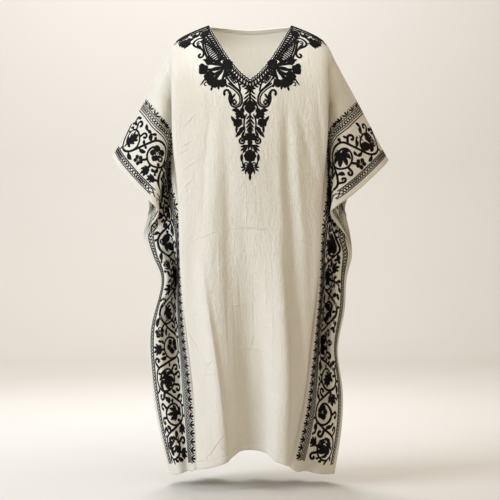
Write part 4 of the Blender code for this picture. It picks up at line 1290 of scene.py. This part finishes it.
def v_row(start, end, inside, width):
    """A row of stitches beside the neckline."""
    return plain(on_v(np.linspace(start, end, 2 + int((end - start) / 0.006)), inside), width)


def barbs(reach, inside, length, width, heading):
    """Leaves beside the neckline, one at each distance up it, turned by heading from its line."""
    turns = np.degrees(np.interp(reach, v_along, v_turn)) + heading
    return [leaf(place, turn, long, width, 0.0, 1.15, 6)
            for place, turn, long in zip(on_v(reach, inside), turns, np.broadcast_to(length, len(reach)))]


def neck_bands():
    """Beside the neckline: a scalloped row on the edge, then above the knot a firm row and a broad
    feather that widens to the shoulder, and below it slanted bars, a row and a narrow feather."""
    reach = np.arange(-0.0022 * MITRE, V_LENGTH - 0.002, SCALLOP["period"] / 5)
    wave = SCALLOP["reach"] * np.sin(2 * math.pi * reach / SCALLOP["period"])
    strokes = [plain(on_v(reach, SCALLOP["inside"] + wave), SCALLOP["width"]),
               v_row(KNOT_REACH, V_LENGTH - 0.003, 0.0068, 0.0040)]
    reach = np.arange(KNOT_REACH, V_LENGTH - 0.003, 0.0086)
    share = (reach - reach[0]) / (reach[-1] - reach[0])
    spine = 0.0120 + 0.0070 * share
    strokes.append(plain(on_v(reach, spine), 0.0060))
    for side in (-1, 1):
        strokes += barbs(reach, spine, 0.0085 + 0.0105 * share, 0.0068, 180 + side * 54)
    strokes += barbs(np.arange(-0.0045, KNOT_REACH - 0.010, SLANT_STEP), 0.0048, 0.0092, 0.0042, 152)
    strokes.append(v_row(-0.0100 * MITRE, KNOT_REACH - 0.010, ROW_INSIDE, 0.0034))
    reach = np.arange(-FEATHER_INSIDE * MITRE - 0.004, KNOT_REACH - 0.008, 0.0080)
    strokes.append(plain(on_v(reach, FEATHER_INSIDE), 0.0050))
    for side in (-1, 1):
        strokes += barbs(reach, FEATHER_INSIDE, 0.0118, 0.0056, side * 50)
    return strokes


PAISLEY_FOOT = 0.62
PAISLEY_ROUNDNESS = 0.75
PAISLEY_POINTS = 24
INNER_GAP = 0.0056
INNER_LEAST = 0.0012
INNER_WIDTH = 0.7
RUNGS = (0.10, 0.86)
RUNG_LEAST = 0.0015


def teardrop(foot, head, width, stitch, rung_step, rung):
    """A paisley leaf between two places: half width sin(pi * t ** foot) ** roundness at a share t of
    its length, so that its foot is full, drawn as an outline, a second one inside it, and rungs."""
    foot, head = np.array(foot), np.array(head)
    length = math.hypot(*(head - foot))
    t = np.linspace(0.0, 1.0, PAISLEY_POINTS)
    half = width / 2 * np.sin(math.pi * t**PAISLEY_FOOT) ** PAISLEY_ROUNDNESS
    strokes = [line_of(np.column_stack([s * half, length * t]), stitch) for s in (-1, 1)]
    inner = np.maximum(half - INNER_GAP, 0.0)
    shown = inner > INNER_LEAST
    strokes += [line_of(np.column_stack([s * inner, length * t])[shown], INNER_WIDTH * stitch)
                for s in (-1, 1)]
    for y in np.arange(*RUNGS, rung_step / length):
        across = np.interp(y, t, inner)
        if across > RUNG_LEAST:
            strokes.append(plain([(-across, y * length), (across, y * length)], rung))
    return placed(strokes, foot, math.degrees(math.atan2(*(head - foot))))


def long_paisley():
    """The leaf beside the upper feather: its head is a curl, and its outer row runs on over the head
    and down into a tail that winds up."""
    strokes = teardrop((0.0800, -0.1280), (0.1240, -0.0480), 0.0310, 0.0056, 0.0064, 0.0046)
    tail = [(0.1130, -0.0600), (0.1200, -0.0440), (0.1310, -0.0370), (0.1440, -0.0395), (0.1500, -0.0490),
            (0.1455, -0.0590), (0.1350, -0.0680), (0.1250, -0.0770), (0.1195, -0.0880), (0.1215, -0.0985),
            (0.1290, -0.1010), (0.1335, -0.0950), (0.1295, -0.0900)]
    strokes += [line_of(tail, 0.0062, (0.8, 1.0)), dot((0.1290, -0.0910), 0.0028),
                leaf((0.1150, -0.0640), 32, 0.0240, 0.0110), leaf((0.1260, -0.0760), 34, 0.0250, 0.0096),
                arc((0.1355, -0.0515), 0.0072, 200, -180, 0.0038, 0.35), dot((0.1350, -0.0520), 0.0022)]
    return strokes


def roses(*rows):
    """Round blossoms from rows of middle x and y, turn, reach and number of petals, side by side."""
    strokes = []
    for x, y, turn, reach, petals in rows:
        width = 2.1 * reach * math.sin(math.pi / petals)
        strokes += placed([leaf((0, 0), heading, reach, width, 0.0, 1.35, 6)
                           for heading in np.arange(0, 360, 360 / petals)], (x, y), turn)
    return strokes


def spread_leaves(at, length, width, headings, bend=0.0, blunt=1.0):
    """Leaves of one size that spread from one foot."""
    return placed([leaf((0, 0), heading, length, width, bend, blunt) for heading in headings], at)


def shoulder_spray():
    """What lies along the shoulder seam: a solid edge, a round flower by the neck, leaves and a crook
    that hang from the edge, and a blossom and a pointed leaf at its outer end."""
    strokes = [line_of(points, width, (1.0, 0.5)) for width, *points in (
        (0.0076, (0.108, -0.0038), (0.150, -0.0038), (0.203, -0.0034)),
        (0.0066, (0.109, -0.0105), (0.150, -0.0108), (0.196, -0.0090)),
        (0.0056, (0.106, -0.0170), (0.122, -0.0170), (0.134, -0.0150)),
        (0.0060, (0.166, -0.0165), (0.182, -0.0165), (0.192, -0.0140)))]
    strokes += roses((0.1195, -0.0265, 12, 0.0120, 7), (0.1700, -0.0420, 0, 0.0132, 6),
                     (0.1800, -0.0320, 20, 0.0122, 6), (0.1630, -0.0310, 0, 0.0094, 5),
                     (0.1480, -0.0230, 10, 0.0076, 5))
    strokes += placed(fan(3, 50, 0.0125, 0.0074), (0.1710, -0.0450), 172)
    strokes += leaves((0.1340, -0.0130, 150, 0.0190, 0.0080, 0.12, 1.2),
                      (0.1450, -0.0110, 172, 0.0200, 0.0076, -0.12, 1.2))
    strokes.append(arc((0.1610, -0.0250), 0.0098, 100, 262, 0.0056, 1.0, FULL))
    strokes += leaves((0.1930, -0.0070, 108, 0.0190, 0.0066, 0.0, 1.2),
                      (0.1880, -0.0130, 150, 0.0140, 0.0066))
    strokes.append(line_of([(0.1640, -0.0420), (0.1570, -0.0460), (0.1495, -0.0480)], 0.0044, FULL))
    return strokes


def knot_and_spray():
    """The dark knot on the edge of the V, and the stalks, leaves and round blossoms that spring from
    it over the chest."""
    strokes = [leaf((0.0565, -0.1375), heading, 0.0155, 0.0150, 0.0, 1.2)
               for heading in (-58, -10, 32, 80, 122, 160, 212)]
    strokes += placed([leaf((0, 0), heading, length, 0.0082, 0.1 * side, 1.2) for heading, length, side in
                       ((52, 0.042, -1), (68, 0.044, -1), (82, 0.050, 1), (97, 0.046, -1), (113, 0.042, 1),
                        (130, 0.044, 1), (148, 0.040, -1), (168, 0.040, 1), (186, 0.036, 1))],
                      (0.0640, -0.1430))
    strokes += roses((0.1190, -0.1370, 10, 0.0136, 6), (0.1035, -0.1590, 30, 0.0150, 7),
                     (0.0880, -0.1830, 0, 0.0128, 6), (0.0690, -0.1860, 30, 0.0118, 5),
                     (0.1040, -0.1170, 20, 0.0112, 5), (0.1000, -0.1760, 20, 0.0100, 5),
                     (0.1240, -0.1260, 0, 0.0080, 5))
    strokes += leaves((0.1020, -0.1220, 22, 0.0230, 0.0120), (0.0980, -0.1200, 64, 0.0260, 0.0100),
                      (0.1130, -0.1600, 142, 0.0240, 0.0042, 0.05), (0.0950, -0.1900, 160, 0.0110, 0.0060),
                      (0.0800, -0.1900, 190, 0.0120, 0.0060), (0.0600, -0.1900, 200, 0.0100, 0.0060))
    return [*strokes, arc((0.1120, -0.1790), 0.0052, 150, -110, 0.0032, 0.8)]


def hooked_paisley():
    """The paisley beside the V's point: a ladder leaf and two rows come down from the knot, turn round
    a bowl that holds a curl, and a thick neck rises from the bowl and hooks outwards."""
    hook = [(0.0638, -0.2150), (0.0640, -0.2085), (0.0590, -0.2050), (0.0530, -0.2080), (0.0497, -0.2170),
            (0.0487, -0.2300)]
    outer = [(0.0196, -0.2342), (0.0208, -0.2230), (0.0270, -0.2115), (0.0390, -0.2005), (0.0540, -0.1890)]
    inner = [(0.0246, -0.2342), (0.0256, -0.2245), (0.0315, -0.2145), (0.0430, -0.2040), (0.0560, -0.1950)]
    strokes = teardrop((0.0570, -0.1560), (0.0240, -0.2110), 0.0190, 0.0046, 0.0062, 0.0040)
    strokes += [line_of(hook, 0.0062, FULL), leaf((0.0470, -0.2420), 4, 0.0330, 0.0120, 0.0, 0.85),
                dot((0.0635, -0.2150), 0.0036)]
    for radius, width, row in ((0.0146, 0.0052, outer), (0.0096, 0.0036, inner)):
        strokes += [arc((0.0342, -0.2342), radius, 0, -180, width, 1.0, FULL), line_of(row, width, FULL)]
    return [*strokes, arc((0.0370, -0.2355), 0.0062, 100, -290, 0.0044, 0.3, FULL),
            leaf((0.0420, -0.2270), -30, 0.0130, 0.0056, 0.1)]


def column_middle():
    """The pieces of the column under the V that lie on its centre line: a diamond, an open feather's
    spine, a palmette, a round blossom and a pointed end."""
    strokes = leaves((0.0, -0.2665, 0, 0.0290, 0.0270), (0.0, -0.2520, 90, 0.0140, 0.0160),
                     (0.0, -0.2520, -90, 0.0140, 0.0160))
    strokes += [plain([(0.0, -0.2050), (0.0, -0.2400)], 0.0058),
                plain([(0.0, -0.2640), (0.0, -0.3180)], 0.0048)]
    strokes += spread_leaves((0.0, -0.3350), 0.0200, 0.0135, (-66, -34, 0, 34, 66), 0.0, 1.3)
    strokes.append(leaf((0.0, -0.3300), 180, 0.0240, 0.0130))
    strokes += [leaf((0.0, -0.3440), 180 + aside, 0.0190, 0.0044, 0.0, 1.3) for aside in (-42, -16, 16, 42)]
    strokes += spread_leaves((0.0, -0.3765), 0.0165, 0.0150, range(0, 360, 45), 0.0, 1.5)
    return [*strokes, *leaves((0.0, -0.3900, 180, 0.0370, 0.0190, 0.0, 0.9),
                              (0.0, -0.4160, 180, 0.0240, 0.0070, 0.0, 1.3))]


def column_side():
    """The right half of what lies beside the column's centre line: the feather's barbs, side blossoms,
    a scroll and the leaves of the pointed end."""
    strokes = [leaf((0.0, y), heading, length, 0.0050, 0.05, 1.2) for y, heading, length in
               ((-0.2000, 126, 0.0120), (-0.2075, 129, 0.0170), (-0.2150, 132, 0.0220),
                (-0.2225, 134, 0.0260), (-0.2300, 138, 0.0220), (-0.2700, 142, 0.0150),
                (-0.2785, 146, 0.0200), (-0.2880, 150, 0.0200), (-0.2970, 152, 0.0180),
                (-0.3060, 152, 0.0130))]
    upper = [(0.0050, -0.2290), (0.0130, -0.2390), (0.0185, -0.2500), (0.0196, -0.2640), (0.0150, -0.2740)]
    lower = [(0.0080, -0.2680), (0.0135, -0.2800), (0.0150, -0.2960), (0.0140, -0.3100)]
    strokes += [line_of(upper, 0.0052), line_of(lower, 0.0044),
                arc((0.0192, -0.3385), 0.0100, 160, -380, 0.0048, 0.24), dot((0.0194, -0.3385), 0.0026)]
    strokes += placed(fan(3, 64, 0.0200, 0.0130), (0.0170, -0.2660), 92)
    strokes += leaves((0.0240, -0.2620, 74, 0.0215, 0.0110, -0.1), (0.0220, -0.2700, 112, 0.0150, 0.0110))
    strokes += roses((0.0305, -0.2900, 10, 0.0124, 6))
    strokes += leaves((0.0330, -0.2880, 38, 0.0220, 0.0084, 0.1, 0.9),
                      (0.0330, -0.2960, 176, 0.0210, 0.0066, 0.0, 0.9),
                      (0.0110, -0.3010, 122, 0.0200, 0.0080, -0.06, 1.3),
                      (0.0120, -0.3050, 134, 0.0330, 0.0096, -0.06, 1.3),
                      (0.0120, -0.3080, 156, 0.0240, 0.0070, 0.0, 1.3),
                      (0.0050, -0.3480, 104, 0.0200, 0.0062, 0.0, 1.3),
                      (0.0050, -0.3500, 124, 0.0240, 0.0064, 0.0, 1.3),
                      (0.0050, -0.3520, 140, 0.0230, 0.0058, 0.0, 1.3),
                      (0.0200, -0.3930, 2, 0.0230, 0.0078, 0.06, 1.1))
    strokes += [line_of([(0.0196, -0.3900), (0.0178, -0.4000), (0.0110, -0.4080)], 0.0046),
                arc((0.0112, -0.3980), 0.0052, 160, -170, 0.0034, 0.3)]
    return [*strokes, *leaves((0.0120, -0.4060, 84, 0.0130, 0.0050), (0.0120, -0.4080, 124, 0.0130, 0.0050),
                              (0.0060, -0.4060, 162, 0.0190, 0.0056, -0.1))]


halves = [*neck_bands(), *long_paisley(), *shoulder_spray(), *knot_and_spray(), *hooked_paisley(),
          *column_side()]
mirrored = [s * (-1.0, 1.0, 1.0) for s in halves]
yoke = [s * (1.0, 1.0, YOKE_FULLNESS) for s in (*halves, *mirrored, *column_middle())]
stitched("yoke", FRONT, yoke, lambda x, y: (x, -y), wool)

# Studio: a seamless pale backdrop that rises well behind the kaftan from just below its hem, a large
# cool soft light at the front left with a weak warm one at the right, small lamps for the shoulders
# and the inside of the neck, two lights behind, and a level camera at the height of the waist.

FLOOR_Z = -1.222
PAPER_TONES = ((0.72, 0.705, 0.680, 1.0), (0.74, 0.725, 0.700, 1.0))
CONE_SOFTNESS = 0.8
LIGHT_COLUMNS = ("place", "aim", "size", "watts", "colour", "cone")
LIGHTS = {
    "window": ((-3.4, -2.0, 0.6), (0.0, 0.0, -0.6), 2.2, 142.0, (0.77, 0.875, 1.0), None),
    "fill": ((1.2, -4.6, 1.4), (0.0, 0.0, -0.7), 2.4, 32.0, (1.0, 0.86, 0.68), None),
    "top": ((0.0, -0.24, 0.50), (0.0, 0.12, -0.10), 0.3, 2.2, (0.90, 0.95, 1.0), None),
    "neck lamp": ((-0.12, -1.25, 0.30), (0.0, 0.09, -0.055), 0.2, 45.0, (0.84, 0.92, 1.0), 15),
    "backdrop wash": ((-0.5, 2.9, 2.6), (-0.5, 5.8, 0.3), 2.6, 98.0, (0.98, 0.98, 1.0), None),
    "rear window": ((-0.5, 2.0, 1.2), (0.0, 0.1, -0.2), 1.2, 46.0, (0.96, 0.98, 1.0), None),
}
AIR_COLOUR = (1.0, 0.845, 0.63, 1.0)
AIR_STRENGTH = 0.48
CAMERA_DISTANCE = 4.2
CAMERA_Z = -0.60
METRES_PER_PIXEL = 0.002667
IMAGE_WIDTH = 500
SENSOR = 36.0


def backdrop(width, front_y, back_y, bend, height):
    """A floor that turns up through a quarter circle into a wall, as one sheet carried along X."""
    turn = np.linspace(0.0, math.pi / 2, 33)
    y = np.concatenate([[front_y], back_y - bend + bend * np.sin(turn), [back_y]])
    z = np.concatenate([[FLOOR_Z], FLOOR_Z + bend - bend * np.cos(turn), [FLOOR_Z + height]])
    x = np.linspace(-width / 2, width / 2, 3)
    points = np.stack(np.broadcast_arrays(x[None, :], y[:, None], z[:, None]), axis=-1)
    mesh = bpy.data.meshes.new("backdrop")
    faces = sheet_faces(len(y), len(x))[:, ::-1]
    mesh.from_pydata(points.reshape(-1, 3).tolist(), [], faces.tolist())
    mesh.shade_smooth()
    obj = bpy.data.objects.new("backdrop", mesh)
    bpy.context.scene.collection.objects.link(obj)
    paper, start = blank_material("pale paper")
    place = start.node("TexCoord", {}, {}, "Object")
    tone = place.noise((2.0, 2.0, 2.0), 1.0).blend(*PAPER_TONES)
    sheet = place.node("BsdfPrincipled", {}, {
        "Base Color": tone, "Roughness": 0.95, "Specular IOR Level": 0.1})
    place.node("OutputMaterial", {}, {"Surface": sheet})
    mesh.materials.append(paper)


def soft_light(name, place, aim, size, watts, colour, cone):
    """A square area light that looks from its place towards aim, or, where a cone in degrees is given,
    a round spot light that lights only that."""
    light = bpy.data.lights.new(name, "SPOT" if cone else "AREA")
    if cone:
        light.spot_size = math.radians(cone)
        light.spot_blend = CONE_SOFTNESS
        light.shadow_soft_size = size / 2
    else:
        light.size = size
    light.energy = watts
    light.color = colour
    lamp = bpy.data.objects.new(name, light)
    lamp.location = place
    lamp.rotation_mode = "QUATERNION"
    lamp.rotation_quaternion = (Vector(place) - Vector(aim)).to_track_quat("Z", "Y")
    lamp.visible_camera = False
    bpy.context.scene.collection.objects.link(lamp)


backdrop(width=18.0, front_y=-7.0, back_y=5.8, bend=1.2, height=6.0)
for name, light in LIGHTS.items():
    soft_light(name, **dict(zip(LIGHT_COLUMNS, light)))

world = bpy.data.worlds.new("studio air")
world.use_nodes = True
world.node_tree.nodes["Background"].inputs["Color"].default_value = AIR_COLOUR
world.node_tree.nodes["Background"].inputs["Strength"].default_value = AIR_STRENGTH
bpy.context.scene.world = world
bpy.context.scene.view_settings.view_transform = "Standard"

camera = bpy.data.cameras.new("camera")
camera.sensor_width = SENSOR
camera.lens = SENSOR * CAMERA_DISTANCE / (IMAGE_WIDTH * METRES_PER_PIXEL)
camera_object = bpy.data.objects.new("camera", camera)
camera_object.location = (0.0, -CAMERA_DISTANCE, CAMERA_Z)
camera_object.rotation_euler = (math.pi / 2, 0.0, 0.0)
bpy.context.scene.collection.objects.link(camera_object)
bpy.context.scene.camera = camera_object
